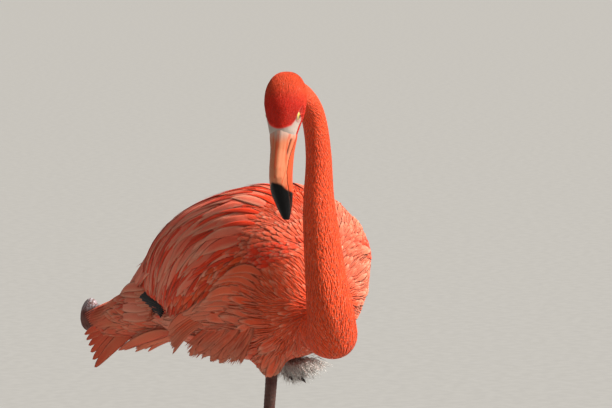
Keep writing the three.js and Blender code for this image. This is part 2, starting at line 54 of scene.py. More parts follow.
MM = 0.001
SOLE = (-1, -3)  # how far forward and left of the trunk's middle the sole stands
HEAD_TURN = math.radians(53)
HEAD_DROOP = math.radians(68)
EYE_AHEAD, EYE_CROWN = 17, 4.5  # the eyes in the head's own frame
EYE_DEPTH = 1.6  # how much deeper than the CAD's balls the eyes sit
LID = 1.10  # the eye socket's radius as a share of the eyeball's
BILL_BACK, BILL_BEND, BILL_TIP = 38, 94, 122  # where the horn begins, turns black and ends in that frame
SWELL = 0.6 * MM  # how much the flesh grows before it's joined to one skin
VOXEL = 2.4 * MM  # the skin's grain
TRIES, CLOSEST = 5, 0.82  # places tried for each root, and how near two roots come as a share of their gap
PATCH, WIDE_PATCH = 0.003, 0.006  # the share of the bake map that one feather takes
LIMIT = 180_000  # triangles in one coat piece
SIDES = {"left": 1, "right": -1}

FLESH = ("trunk", "wing_right", "wing_left", "tail", "neck_base", "neck_lower", "neck_upper",
         "neck_crook", "head", "thigh_right", "thigh_left")
REGIONS = {"trunk": 2.8, "wing": 3.2, "tail": 2.6, "neck_base": 2.0, "neck": 1.3, "head": 0.7,
           "thigh": 2.0}  # with the coat's depth on each, in millimetres
TRUNK, WING, TAIL, NECK_BASE, NECK, HEAD, THIGH = range(len(REGIONS))


# ---- small tools


def at(forward, left, up):
    """A body place in the frame, from millimetres forward, left and up."""
    return Vector(((left - SOLE[1]) * MM, (SOLE[0] - forward) * MM, up * MM))


def across(forward, left, up):
    """A body direction in the frame."""
    return Vector((left, -forward, up)).normalized()


def smoothstep(low, high, x):
    t = np.clip((np.asarray(x, float) - low) / (high - low), 0, 1)
    return t * t * (3 - 2 * t)


def mix(a, b, share):
    """a where share is 0 and b where it is 1."""
    return a * (1 - share) + b * share


def blend(a, b, share):
    """Like mix, for colours and directions."""
    return mix(np.asarray(a, float), np.asarray(b, float), np.asarray(share, float)[..., None])


def columns_of(*values):
    """Rows of places or directions from their columns, each an array or one number."""
    return np.stack(np.broadcast_arrays(*values), 1).astype(float)


def unit(v):
    return v / np.maximum(np.linalg.norm(v, axis=-1, keepdims=True), 1e-12)


def flattened(v, normals):
    """Directions without their part along the normals."""
    return unit(v - normals * (v * normals).sum(-1, keepdims=True))


def linear(red, green, blue):
    """A linear colour from sRGB shares."""
    c = np.array([red, green, blue], float)
    return np.where(c <= 0.04045, c / 12.92, ((c + 0.055) / 1.055) ** 2.4)


def fetched(items, key, kind=np.float32, wide=3):
    """Rows of numbers from one of Blender's collections."""
    found = np.empty(len(items) * wide, kind)
    items.foreach_get(key, found)
    return found.reshape(-1, wide)


def coordinates(mesh):
    return fetched(mesh.vertices, "co").astype(float)


def normals_of(mesh):
    return fetched(mesh.vertex_normals, "vector").astype(float)


def fill(items, key, values, kind=np.float32):
    items.foreach_set(key, np.asarray(values, kind).ravel())


def set_coordinates(mesh, places):
    fill(mesh.vertices, "co", places)
    mesh.update()


def smooth_shaded(mesh):
    fill(mesh.polygons, "use_smooth", np.ones(len(mesh.polygons)), bool)


def linked(name, data):
    piece = bpy.data.objects.new(name, data)
    bpy.context.scene.collection.objects.link(piece)
    return piece


def declared(piece, slot, *nodes):
    """A finished piece of the bird, perhaps in place of CAD nodes."""
    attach(piece, "root")
    if nodes:
        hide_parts(*nodes)


def mesh_from(name, places, faces):
    """A smooth mesh of triangles from arrays."""
    mesh = bpy.data.meshes.new(name)
    mesh.vertices.add(len(places))
    mesh.loops.add(faces.size)
    mesh.polygons.add(len(faces))
    fill(mesh.vertices, "co", places)
    fill(mesh.loops, "vertex_index", faces, np.int32)
    fill(mesh.polygons, "loop_start", np.arange(0, faces.size, 3), np.int32)
    smooth_shaded(mesh)
    mesh.update(calc_edges=True)
    return mesh


def mesh_of(bm, name):
    """A mesh from a bmesh, which it uses up."""
    mesh = bpy.data.meshes.new(name)
    bm.to_mesh(mesh)
    bm.free()
    return mesh


def applied(piece):
    """The mesh that a piece's modifiers make, now the piece's own."""
    before = piece.data
    evaluated = piece.evaluated_get(bpy.context.evaluated_depsgraph_get())
    mesh = bpy.data.meshes.new_from_object(evaluated)
    piece.modifiers.clear()
    piece.data = mesh
    bpy.data.meshes.remove(before)
    return mesh


def loft(rings):
    """A closed bmesh skinned over rings of points."""
    bm = bmesh.new()
    made = [[bm.verts.new(p) for p in ring] for ring in rings]
    for ring, following in zip(made, made[1:]):
        for i in range(len(ring)):
            j = (i + 1) % len(ring)
            bm.faces.new((ring[i], ring[j], following[j], following[i]))
    bm.faces.new(reversed(made[0]))
    bm.faces.new(made[-1])
    bmesh.ops.recalc_face_normals(bm, faces=bm.faces)
    return bm


def remeshed(bm, voxel, name):
    """One closed skin of quads round everything in a bmesh."""
    piece = linked(name, mesh_of(bm, name))
    modifier = piece.modifiers.new("skin", "REMESH")
    modifier.mode = "VOXEL"
    modifier.voxel_size = voxel
    applied(piece)
    return piece


def add_part(bm, part):
    """Adds one bmesh, which it uses up, to another."""
    mesh = mesh_of(part, "part")
    bm.from_mesh(mesh)
    bpy.data.meshes.remove(mesh)


def cad_copy(bm, node, grow=0.0, cut=None):
    """Adds a CAD node's mesh to a bmesh, a little grown, and cut off past a plane."""
    part = bmesh.new()
    part.from_mesh(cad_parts[node].data)
    bmesh.ops.remove_doubles(part, verts=part.verts, dist=1e-6)
    if cut:
        everything = part.verts[:] + part.edges[:] + part.faces[:]
        bmesh.ops.bisect_plane(part, geom=everything, plane_co=cut[0], plane_no=cut[1], clear_outer=True)
        bmesh.ops.holes_fill(part, edges=[e for e in part.edges if e.is_boundary], sides=0)
    part.normal_update()
    for vertex in part.verts:
        vertex.co += vertex.normal * grow
    add_part(bm, part)


class Net:
    """The links between a mesh's vertices, and what is worked out along them."""

    def __init__(self, mesh):
        self.count = len(mesh.vertices)
        edges = fetched(mesh.edges, "vertices", np.int32, 2)
        self.ends = np.concatenate([edges, edges[:, ::-1]])
        self.degree = np.bincount(self.ends[:, 0], minlength=self.count)

    def sums(self, values):
        """Each vertex's sum of the columns of what its links carry."""
        return np.stack([np.bincount(self.ends[:, 0], column, self.count) for column in values.T], 1)

    def means(self, values):
        """Each vertex's mean over its neighbours."""
        sums = self.sums(values.reshape(self.count, -1)[self.ends[:, 1]])
        return (sums / np.maximum(self.degree, 1)[:, None]).reshape(values.shape)

    def smoothed(self, values, times):
        for _ in range(times):
            values = values + 0.5 * (self.means(values) - values)
        return values

    def uphill(self, places, values):
        """The direction in which values grow fastest, at each vertex."""
        a, b = self.ends.T
        step = places[b] - places[a]
        rise = (values[b] - values[a]) / np.maximum((step ** 2).sum(1), 1e-12)
        return self.sums(rise[:, None] * step)

    def distances(self, places, starts):
        """The way along the net from the nearest start."""
        a, b = self.ends.T
        length = np.linalg.norm(places[a] - places[b], axis=1)
        found, before = np.full(self.count, math.inf), None
        found[starts] = 0
        while not np.array_equal(found, before):
            before = found.copy()
            np.minimum.at(found, b, before[a] + length)
        return found


class Surface:
    """A mesh as something that feathers are rooted in and laid along."""

    def __init__(self, mesh, normals=None, lie=None):
        mesh.calc_loop_triangles()
        self.triangles = fetched(mesh.loop_triangles, "vertices", np.int32)
        self.places, self.normals, self.lie = coordinates(mesh), normals, lie
        self.tree = BVHTree.FromPolygons(self.places.tolist(), self.triangles.tolist())

    def corners(self, triangle):
        return (self.places[self.triangles[triangle, k]] for k in range(3))

    def nearest(self, points):
        """The nearest place on the surface to each point: where, in which triangle and its weights."""
        found = [self.tree.find_nearest(p) for p in points.tolist()]
        where, triangle = np.array([f[0][:] for f in found]), np.array([f[2] for f in found])
        return where, triangle, self.weights(where, triangle)

    def weights(self, where, triangle):
        a, b, c = self.corners(triangle)
        u, v, w = b - a, c - a, where - a
        uu, uv, vv = (u * u).sum(1), (u * v).sum(1), (v * v).sum(1)
        wu, wv = (w * u).sum(1), (w * v).sum(1)
        below = np.maximum(uu * vv - uv * uv, 1e-20)
        second, third = (vv * wu - uv * wv) / below, (uu * wv - uv * wu) / below
        return np.stack([1 - second - third, second, third], 1)

    def value(self, values, triangle, weights):
        """A vertex quantity at places on the surface."""
        corners = values[self.triangles[triangle]]
        return (corners * weights.reshape(weights.shape + (1,) * (corners.ndim - 2))).sum(1)

    def scattered(self, spacing, wanted, seed):
        """Roots about spacing apart where wanted is above a half, both by vertex."""
        rng = np.random.default_rng(seed)
        a, b, c = self.corners(slice(None))
        areas = np.linalg.norm(np.cross(b - a, c - a), axis=1) / 2
        gap = spacing[self.triangles].mean(1)
        share = np.where(wanted[self.triangles].mean(1) > 0.5, areas / gap ** 2, 0)
        count = int(share.sum() * TRIES)
        triangle = rng.choice(len(share), count, p=share / share.sum())
        u, v = rng.random((2, count))
        flip = u + v > 1
        u, v = np.where(flip, 1 - u, u), np.where(flip, 1 - v, v)
        weights = np.stack([1 - u - v, u, v], 1)
        where, apart = (self.value(field, triangle, weights) for field in (self.places, spacing))
        kept = far_apart(where, apart * CLOSEST)
        return triangle[kept], weights[kept]


def far_apart(places, apart):
    """The indexes of places that keep their distance from the ones kept before them."""
    size, grid, kept = apart.max(), {}, []
    for i, (p, gap) in enumerate(zip(places.tolist(), apart.tolist())):
        cells = product(*(range(int((x - gap) // size), int((x + gap) // size) + 1) for x in p))
        if all(math.dist(p, q) >= gap for cell in cells for q in grid.get(cell, ())):
            kept.append(i)
            grid.setdefault(tuple(int(x // size) for x in p), []).append(p)
    return np.array(kept)


# ---- the head's own frame


def middle(node):
    low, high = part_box(node)
    return (low + high) / 2


UP = Vector((0, 0, 1))
FACING = across(math.cos(HEAD_TURN), -math.sin(HEAD_TURN), 0)
HEAD_AHEAD = FACING * math.cos(HEAD_DROOP) - UP * math.sin(HEAD_DROOP)
HEAD_CROWN = FACING * math.sin(HEAD_DROOP) + UP * math.cos(HEAD_DROOP)
HEAD_LEFT = HEAD_CROWN.cross(HEAD_AHEAD)
HEAD_AXES = np.array([HEAD_AHEAD, HEAD_LEFT, HEAD_CROWN])
EYE = {side: middle(f"eye_{side}") - HEAD_LEFT * sign * EYE_DEPTH * MM for side, sign in SIDES.items()}
EYE_RADIUS = max(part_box("eye_left")[1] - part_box("eye_left")[0]) / 2
HEAD_MIDDLE = (EYE["left"] + EYE["right"]) / 2 - (HEAD_AHEAD * EYE_AHEAD + HEAD_CROWN * EYE_CROWN) * MM


def head_at(ahead, left, crown):
    return HEAD_MIDDLE + (HEAD_AHEAD * ahead + HEAD_LEFT * left + HEAD_CROWN * crown) * MM


def in_head(places):
    """Places as millimetres towards the bill, to the left and to the crown."""
    return (np.asarray(places) - np.array(HEAD_MIDDLE)) @ HEAD_AXES.T / MM


def in_body(places):
    """Places as millimetres forward, left and up."""
    p = np.asarray(places) / MM
    return np.stack([SOLE[0] - p[..., 1], p[..., 0] + SOLE[1], p[..., 2]], -1)


def from_head(places):
    """How far places are from the middle of the head."""
    return np.linalg.norm(places - np.array(HEAD_MIDDLE), axis=1)


# ---- the skin


def tail_core():
    """The soft root of the tail, without its long feathers."""
    rings = []
    for share in np.linspace(0, 1, 9):
        top, bottom = 580 - 36 * share ** 3, 520 - 18 * math.sin(share * math.pi / 2)
        centre = at(-130 - 160 * share, -4 - 12 * share, (top + bottom) / 2)
        width, height = (46 - 32 * share ** 2) * MM, (top - bottom) / 2 * MM
        rings.append([centre + Vector((width * math.cos(a), 0, height * math.sin(a)))
                      for a in np.linspace(0, math.tau, 24, endpoint=False)])
    return loft(rings)


def raw_skin():
    """The flesh nodes as one surface, before the coat's depth is taken off."""
    bm = bmesh.new()
    rear = (at(-186, 0, 600), across(-1, 0, 0))
    for node in FLESH:
        if node != "tail":
            cad_copy(bm, node, SWELL, rear if node.startswith("wing") else None)
    for side in SIDES:
        cad_copy(bm, f"eye_{side}", SWELL)
    for half in ("upper", "lower"):
        cad_copy(bm, f"bill_{half}", SWELL / 2, (head_at(54, 0, 0), HEAD_AHEAD))
    add_part(bm, tail_core())
    return remeshed(bm, VOXEL, "skin")


def nearest_nodes(places, nodes):
    """For each place, which of the nodes its nearest CAD surface belongs to."""
    vertices, faces, owner = [], [], []
    for index, node in enumerate(nodes):
        mesh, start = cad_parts[node].data, len(vertices)
        vertices += [v.co.copy() for v in mesh.vertices]
        faces += [[start + v for v in polygon.vertices] for polygon in mesh.polygons]
        owner += [index] * len(mesh.polygons)
    tree = BVHTree.FromPolygons(vertices, faces)
    return np.array([owner[tree.find_nearest(Vector(p))[2]] for p in places])


def region_shares(places, net):
    """How much each vertex belongs to each region, softly at their borders."""
    region_of = np.array([next(i for i, r in enumerate(REGIONS) if n.startswith(r)) for n in FLESH])
    return net.smoothed(np.eye(len(REGIONS))[region_of[nearest_nodes(places, FLESH)]], 10)


def thickness_inward(mesh, places, normals):
    tree = BVHTree.FromPolygons(places.tolist(), [p.vertices[:] for p in mesh.polygons])
    found = np.full(len(places), 1.0)
    for i, (place, normal) in enumerate(zip(places, normals)):
        inward = Vector(-normal)
        hit = tree.ray_cast(Vector(place) + inward * 1e-4, inward, 0.2)
        if hit[0] is not None:
            found[i] = hit[3]
    return found


def under_coat(skin):
    """Rounds the facets off the skin and draws it in by the coat's depth. Returns the region shares."""
    mesh, net = skin.data, Net(skin.data)
    places = coordinates(mesh)
    shares = region_shares(places, net)
    rounding = 8 + 22 * (1 - shares[:, HEAD] - 0.6 * shares[:, NECK]).clip(0, 1)
    for step in range(30):
        places = places + 0.5 * (rounding > step)[:, None] * (net.means(places) - places)
    set_coordinates(mesh, places)
    normals = unit(net.smoothed(normals_of(mesh), 6))
    depth = shares @ np.array(list(REGIONS.values())) * MM
    ahead = in_head(places)[:, 0]
    face = mix(0.5, 1.2, smoothstep(BILL_BACK, BILL_BACK + 4, ahead)) * MM
    depth = mix(depth, face, smoothstep(22, 30, ahead) * shares[:, HEAD])
    depth = np.minimum(depth, 0.33 * thickness_inward(mesh, places, normals))
    depth = mix(net.smoothed(depth, 8), depth, shares[:, HEAD])
    set_coordinates(mesh, net.smoothed(places - normals * depth[:, None], 2))
    return shares


def refined(skin, shares):
    """A finer grain round the face, and sockets that hold the eyeballs."""
    coarse = Surface(skin.data)
    bm = bmesh.new()
    bm.from_mesh(skin.data)
    for reach in (16, 11.5):
        places = np.array([v.co for v in bm.verts])
        away = np.min([np.linalg.norm(places - np.array(eye), axis=1) for eye in EYE.values()], axis=0)
        base = (np.abs(in_head(places)[:, 0] - BILL_BACK) < reach - 7) & (from_head(places) < 0.06)
        chosen = (away < reach * MM) | base
        edges = [e for e in bm.edges if chosen[e.verts[0].index] and chosen[e.verts[1].index]]
        bmesh.ops.subdivide_edges(bm, edges=edges, cuts=1, use_grid_fill=True)
        bm.verts.index_update()
    bmesh.ops.triangulate(bm, faces=bm.faces)
    bm.to_mesh(skin.data)
    bm.free()
    net = Net(skin.data)
    places = coordinates(skin.data)
    shares = coarse.value(shares, *coarse.nearest(places)[1:])
    near = smoothstep(30, 22, from_head(places) / MM - 8)
    places = places + near[:, None] * (net.smoothed(places, 3) - places)
    for side, sign in SIDES.items():
        places = with_socket(places, np.array(EYE[side]), sign * HEAD_AXES[1])
    set_coordinates(skin.data, places)
    return net, places, shares


def with_socket(places, eye, outward):
    """The skin wrapped round an eyeball, and drawn in behind it where the eye is open."""
    away = places - eye
    distance = np.linalg.norm(away, axis=1)
    ahead = away @ HEAD_AXES[0] / distance / 1.12
    crown = away @ HEAD_AXES[2] / distance / 0.94
    aside = np.degrees(np.arcsin(np.clip(np.hypot(ahead, crown), 0, 1)))
    opening = np.where(away @ outward > 0, aside, 180)
    rim = EYE_RADIUS * mix(0.80, LID, smoothstep(42, 49, opening))
    wanted = np.where(opening < 46, rim, np.maximum(distance, rim))
    share = smoothstep(90, 62, opening)
    return eye + away / distance[:, None] * mix(distance, wanted, share)[:, None]


# ---- the lie of the feathers


def wing_lie(places):
    """Over a folded wing the feathers run back, and ever more steeply down towards the rear."""
    forward = in_body(places)[:, 0]
    slope = np.radians(np.interp(forward, (-195, -140, -90, -20, 40, 130), (82, 72, 58, 45, 32, 15)))
    return columns_of(0, np.cos(slope), -np.sin(slope))


def feather_lie(mesh, net, places, shares):
    """The direction in which feathers lie at each vertex: away from the bill, over the body."""
    normals = unit(net.smoothed(normals_of(mesh), 3))
    bill_base = np.array(head_at(34, 0, -3))
    starts = np.linalg.norm(places - bill_base, axis=1) < 16 * MM
    way = net.smoothed(net.distances(places, starts), 10)
    lie = blend(unit(net.uphill(places, way)), wing_lie(places), shares[:, WING])
    forward, _, up = in_body(places).T
    rear = 0.6 * smoothstep(120, 40, forward) * (shares[:, TRUNK] + shares[:, TAIL])
    backward = unit(columns_of(0, 1, -0.15 - 0.27 * smoothstep(515, 585, up)))
    lie = net.smoothed(flattened(mix(lie, backward, rear[:, None]), normals), 12)
    return flattened(lie, normals), normals, way


# ---- making feathers


def turned(directions, normals, angles):
    """Directions turned about the normals."""
    angles = np.asarray(angles)[..., None]
    return directions * np.cos(angles) + np.cross(normals, directions) * np.sin(angles)


def laid(surface, roots, lengths, steps, yaw):
    """Centre lines that follow the lie from their roots, and the normals along them."""
    def lie_at(triangle, weights):
        normal = unit(surface.value(surface.normals, triangle, weights))
        return normal, turned(flattened(surface.value(surface.lie, triangle, weights), normal), normal, yaw)

    place = surface.value(surface.places, *roots)
    normal, heading = lie_at(*roots)
    centres, normals = [place], [normal]
    for share in np.diff(steps):
        place, triangle, weights = surface.nearest(place + heading * (lengths * share)[:, None])
        normal, field = lie_at(triangle, weights)
        heading = flattened(mix(field, heading, 0.5), normal)
        centres.append(place)
        normals.append(normal)
    return np.stack(centres, 1), np.stack(normals, 1)


def steps_of(count, tip=1.5):
    """Shares along a feather, closer together towards its tip."""
    return 1 - (1 - np.linspace(0, 1, count)) ** tip


def width_along(s, widest, root, power, bluntness):
    """A feather's half width along it, from its root over its widest place to its tip."""
    end = np.clip(1 - (np.clip(s - widest, 0, 1) / (1 - widest)) ** power, 0, 1) ** bluntness
    return np.where(s < widest, root + (1 - root) * smoothstep(0, widest, s), end)


def rounded(s, widest=0.45, root=0.35):
    return width_along(s, widest, root, 2, 0.5)


def pointed(s, widest=0.4, root=0.3):
    return width_along(s, widest, root, 1.6, 1)


def plume(s):
    """The outline of a long feather."""
    return mix(rounded(s, 0.35, 0.5), pointed(s, 0.35, 0.5), 0.6)


class Vanes:
    """A family of feathers that share a number of rows and columns, as closed thin solids."""

    def __init__(self, centres, normals, steps, half_width, lift, thickness,
                 columns, camber, outline, ragged, seed):
        self.count, self.roots = len(centres), centres[:, 0]
        half_width = np.broadcast_to(half_width, (self.count,))
        raised = centres + normals * np.asarray(lift)[..., None]
        along = unit(np.gradient(raised, axis=1))
        side = unit(np.cross(normals, along))
        upward = np.cross(along, side)
        c, inner = np.linspace(-1, 1, columns), slice(1, -1)
        w = (half_width[:, None] * outline(steps)[None, :])[:, inner, None]
        top = (raised[:, inner, None] + side[:, inner, None] * (w * c)[..., None]
               + upward[:, inner, None] * (w * (camber * (1 - c ** 2)))[..., None])
        fray = np.random.default_rng(seed).normal(0, 1, (self.count, 1, columns))
        fray = fray * ragged * steps[inner][None, :, None] ** 3
        fray[..., 0] = fray[..., -1] = 0
        top = top + along[:, inner, None] * (fray * half_width[:, None, None])[..., None]
        keel = raised[:, inner] + upward[:, inner] * (w[..., 0] * camber - thickness)[..., None]
        rows = np.concatenate([top, keel[:, :, None]], 2).reshape(self.count, -1, 3)
        self.places = np.concatenate([raised[:, :1], rows, raised[:, -1:]], 1)
        self.faces = vane_faces(len(steps) - 2, columns + 1)
        self.across = np.concatenate([[0.0], np.tile(np.append(c, 0.0), len(steps) - 2), [0.0]])
        self.along = np.concatenate([[0.0], np.repeat(steps[inner], columns + 1), [1.0]])


def vane_faces(rows, around):
    """The triangles of one feather: a root point, rows round its top and keel, and a tip point."""
    last, tip = 1 + (rows - 1) * around, 1 + rows * around
    faces = []
    for start in range(1, last, around):
        for k in range(around):
            left, right = start + k, start + (k + 1) % around
            faces += [(left, right, right + around), (left, right + around, left + around)]
    for k in range(around):
        n = (k + 1) % around
        faces += [(0, 1 + n, 1 + k), (tip, last + k, last + n)]
    return np.array(faces)[:, ::-1]


def coat(name, look, lines, half_width, lift, thickness, tints, rng, columns=5, camber=0.12, outline=rounded,
         ragged=0.0, seed=1, tone=0.1, marks=(0, 0, 0), paintwork=None, slot="plumage", patch=PATCH):
    """Coat pieces from a family of feathers along centre lines, with their colours, marks and maps.
    Sizes are in millimetres. Marks are how strong the pale tip, the red core and the pale edge are."""
    vanes = Vanes(*lines, half_width * MM, lift * MM, thickness * MM, columns, camber, outline, ragged, seed)
    count, points = vanes.places.shape[:2]
    tints = tints * (1 + rng.normal(0, tone, (count, 1)))
    tints = paintwork(tints, vanes, rng) if paintwork else tints[:, None]
    tints = np.broadcast_to(tints, (count, points, 3))
    marks = np.array(marks) * rng.uniform(0.5, 1.5, (count, 1))
    bake_at = skin_map.of(vanes.roots)
    local = np.stack([vanes.across, vanes.along * 2 - 1], 1) * patch / 2
    per_piece = LIMIT // len(vanes.faces)
    for number, start in enumerate(range(0, count, per_piece)):
        chosen = slice(start, start + per_piece)
        places = vanes.places[chosen]
        faces = (vanes.faces[None] + (np.arange(len(places)) * points)[:, None, None]).reshape(-1, 3)
        mesh = mesh_from(name, places.reshape(-1, 3), faces)
        paint(mesh, "Tint", tints[chosen].reshape(-1, 3).clip(0.003, 0.98))
        paint(mesh, "Marks", np.repeat(marks[chosen], points, 0).clip(0, 1))
        corner = faces.ravel()
        add_map(mesh, "Vane", np.stack([vanes.across * 0.5 + 0.5, vanes.along], 1)[corner % points])
        add_map(mesh, "OFBake", np.repeat(bake_at[chosen], points, 0)[corner] + local[corner % points])
        mesh.materials.append(look)
        declared(linked(f"{name}_{number + 1}" if count > per_piece else name, mesh), slot)


def paint(mesh, name, colours):
    """A colour for each vertex."""
    full = np.ones((len(colours), 4), np.float32)
    full[:, :colours.shape[1]] = colours
    fill(mesh.color_attributes.new(name, "FLOAT_COLOR", "POINT").data, "color", full)


def add_map(mesh, name, places):
    fill(mesh.uv_layers.new(name=name, do_init=False).uv, "vector", places)


def edged(colour, width=0.5, chance=0.7, strength=1.0, tip=0.0):
    """Paintwork with one edge, and perhaps the tip, of another colour on some of the feathers."""
    def paintwork(tints, vanes, rng):
        side = rng.choice((-1, 1), vanes.count)[:, None]
        strong = strength * (rng.random(vanes.count) < chance)[:, None]
        strong = strong * rng.uniform(0.6, 1, (vanes.count, 1))
        share = smoothstep(1 - 2 * width, 1, side * vanes.across) * smoothstep(1.0, 0.75, vanes.along)
        share = np.maximum(share, tip * smoothstep(0.62, 0.95, vanes.along))
        return blend(tints[:, None], colour, share * strong)
    return paintwork


class SkinMap:
    """An unwrap of the skin's own shape, which says where each feather's root lies on the bake map."""

    def __init__(self, skin):
        copy = linked("unwrap", skin.data.copy())
        copy.modifiers.new("fewer", "DECIMATE").ratio = 0.12
        mesh = applied(copy)
        bpy.ops.object.select_all(action="DESELECT")
        copy.select_set(True)
        bpy.context.view_layer.objects.active = copy
        bpy.ops.object.mode_set(mode="EDIT")
        bpy.ops.mesh.select_all(action="SELECT")
        bpy.ops.mesh.quads_convert_to_tris()
        bpy.ops.uv.smart_project(angle_limit=1.15, island_margin=0.004, scale_to_bounds=True)
        bpy.ops.object.mode_set(mode="OBJECT")
        self.uv = fetched(mesh.uv_layers.active.uv, "vector", wide=2).reshape(-1, 3, 2)
        self.surface = Surface(mesh)
        bpy.data.objects.remove(copy)

    def of(self, places):
        _, triangle, weights = self.surface.nearest(places)
        return (self.uv[triangle] * weights[..., None]).sum(1)


# ---- materials


class Look:
    """A material made of nodes, with short calls for the nodes it needs."""

    def __init__(self, name, **constants):
        self.material = bpy.data.materials.new(name)
        self.material.use_nodes = True
        self.tree = self.material.node_tree
        self.shader = self.tree.nodes["Principled BSDF"]
        for socket, value in constants.items():
            self.shader.inputs[socket.replace("_", " ")].default_value = value

    def feed(self, socket, value):
        if isinstance(value, bpy.types.NodeSocket):
            self.tree.links.new(value, socket)
        else:
            socket.default_value = (*value, 1.0) if isinstance(value, np.ndarray) else value

    def node(self, kind, inputs, **settings):
        made = self.tree.nodes.new("ShaderNode" + kind)
        for key, value in settings.items():
            setattr(made, key, value)
        for key, value in inputs.items():
            self.feed(made.inputs[key], value)
        return made

    def math(self, operation, a, b=0.0, c=0.0):
        return self.node("Math", {0: a, 1: b, 2: c}, operation=operation).outputs[0]

    def ramp(self, value, low, high, to_low=0.0, to_high=1.0):
        """A smooth step from one value to another."""
        inputs = {"Value": value, "From Min": low, "From Max": high, "To Min": to_low, "To Max": to_high}
        return self.node("MapRange", inputs, interpolation_type="SMOOTHSTEP").outputs[0]

    def mix(self, share, a, b, blend="MIX"):
        return self.node("Mix", {0: share, 6: a, 7: b}, data_type="RGBA", blend_type=blend).outputs[2]

    def place(self):
        return self.node("TexCoord", {}).outputs["Object"]

    def noise(self, scale, detail=3.0, vector=None):
        inputs = {"Vector": vector or self.place(), "Scale": scale, "Detail": detail}
        return self.node("TexNoise", inputs).outputs["Fac"]

    def attribute(self, name):
        return self.node("Attribute", {}, attribute_name=name).outputs["Color"]

    def marks(self):
        return self.node("SeparateColor", {"Color": self.attribute("Marks")}).outputs

    def shaded(self, colour, value, share, least):
        """The surface's colour, darker where a value is low."""
        shade = self.math("MULTIPLY_ADD", value, share, least)
        grey = self.node("CombineColor", {0: shade, 1: shade, 2: shade}).outputs[0]
        self.colour(self.mix(1.0, colour, grey, "MULTIPLY"))

    def colour(self, value):
        self.feed(self.shader.inputs["Base Color"], value)

    def rough(self, value, low, high):
        self.feed(self.shader.inputs["Roughness"], self.ramp(value, 0.2, 0.8, low, high))

    def bump(self, height, distance, strength=1.0):
        inputs = {"Height": height, "Distance": distance, "Strength": strength}
        self.feed(self.shader.inputs["Normal"], self.node("Bump", inputs).outputs[0])


PALE = linear(0.98, 0.70, 0.58)
RED = linear(0.95, 0.20, 0.05)
# the colour of the painted shade at the feathers' roots
ROOT_SHADE_TINT = linear(0.66, 0.16, 0.08)


def feather_look(name, barbs, slant=6.0, root_shade=0.5, pale=PALE, sheen=0.06):
    """Feather vanes: their own tint, a pale tip and edge, a red streak, barbs, and painted shade towards the
    roots, where each feather lies under the ones before it.
    """
    look = Look(name, Sheen_Weight=sheen, Sheen_Roughness=0.5, Specular_IOR_Level=0.15)
    vane = look.node("UVMap", {}, uv_map="Vane").outputs[0]
    around, along, _ = look.node("SeparateXYZ", {"Vector": vane}).outputs
    side = look.math("MULTIPLY", look.math("ABSOLUTE", look.math("SUBTRACT", around, 0.5)), 2.0)
    marks = look.marks()
    wobble = look.math("MULTIPLY_ADD", look.noise(170.0), 0.6, -0.3)
    core = look.ramp(look.math("ADD", side, wobble), 0.7, 0.1)
    core = look.math("MULTIPLY", core, look.ramp(along, 0.98, 0.7))
    colour = look.mix(look.math("MULTIPLY", core, marks[1]), look.attribute("Tint"), RED)
    tip = look.ramp(look.math("MULTIPLY_ADD", wobble, 0.4, along), 0.62, 1.0)
    edge = look.ramp(side, 0.4, 1.0)
    light = look.math("MAXIMUM", look.math("MULTIPLY", tip, marks[0]), look.math("MULTIPLY", edge, marks[2]))
    colour = look.mix(light, colour, pale)
    # painted shade: the vane darkens towards its root, where it lies under other feathers
    colour = look.mix(look.ramp(along, 0.6, 0.0, 0.0, root_shade), colour, ROOT_SHADE_TINT, "MULTIPLY")
    phase = look.math("MULTIPLY_ADD", side, -slant, look.math("MULTIPLY", along, barbs))
    barb = look.math("SINE", look.math("MULTIPLY", phase, math.tau))
    grain = look.noise(1100.0, 2.0)
    look.shaded(colour, barb, 0.06, look.math("MULTIPLY_ADD", grain, 0.34, 0.83))
    look.rough(grain, 0.6, 0.85)
    look.bump(barb, 0.00015, 0.7)
    return look.material


def skin_look():
    """The skin under the feathers, which carries their colours, and is bare round the bill."""
    look = Look("skin", Specular_IOR_Level=0.35)
    fine = look.noise(700.0, 4.0)
    look.shaded(look.attribute("Tint"), look.noise(120.0, 2.0), 0.35, 0.8)
    look.rough(fine, 0.5, 0.75)
    look.bump(fine, 0.0004, 0.5)
    return look.material


def bill_look():
    """Smooth horn with fine growth lines along the bill."""
    look = Look("bill", Coat_Weight=0.02, Coat_Roughness=0.25, Specular_IOR_Level=0.12)
    stretched = {k: look.math("MULTIPLY", mark, (3.0, 34.0, 34.0)[k]) for k, mark in enumerate(look.marks())}
    line = look.noise(1.0, 4.0, look.node("CombineXYZ", stretched).outputs[0])
    growth = look.ramp(line, 0.48, 0.66, 0.0, 0.6)
    colour = look.mix(growth, look.attribute("Tint"), linear(0.95, 0.45, 0.25), "MULTIPLY")
    look.shaded(colour, line, 0.5, 0.74)
    look.rough(look.noise(500.0), 0.32, 0.55)
    look.bump(line, 0.0005, 0.5)
    return look.material


def leg_look():
    """Leathery legs with rows of scutes, and painted shade in the grooves between them."""
    look = Look("leg_skin", Specular_IOR_Level=0.45, Sheen_Weight=0.05)
    inputs = {"Scale": 380.0, "Vector": look.place()}
    cells = look.node("TexVoronoi", inputs, feature="DISTANCE_TO_EDGE").outputs["Distance"]
    scute = look.math("MULTIPLY_ADD", look.marks()[0], 0.7, 0.3)
    height = look.math("MULTIPLY", look.ramp(cells, 0.0, 0.12), scute)
    tone = look.noise(90.0, 4.0)
    redder = look.ramp(tone, 0.3, 0.75)
    colour = look.mix(redder, look.attribute("Tint"), linear(0.62, 0.36, 0.34), "SOFT_LIGHT")
    # painted shade: darker in the grooves between the scutes, where the bump sinks
    look.shaded(colour, height, 0.35, 0.72)
    look.rough(tone, 0.45, 0.7)
    look.bump(height, 0.0006, 0.8)
    return look.material


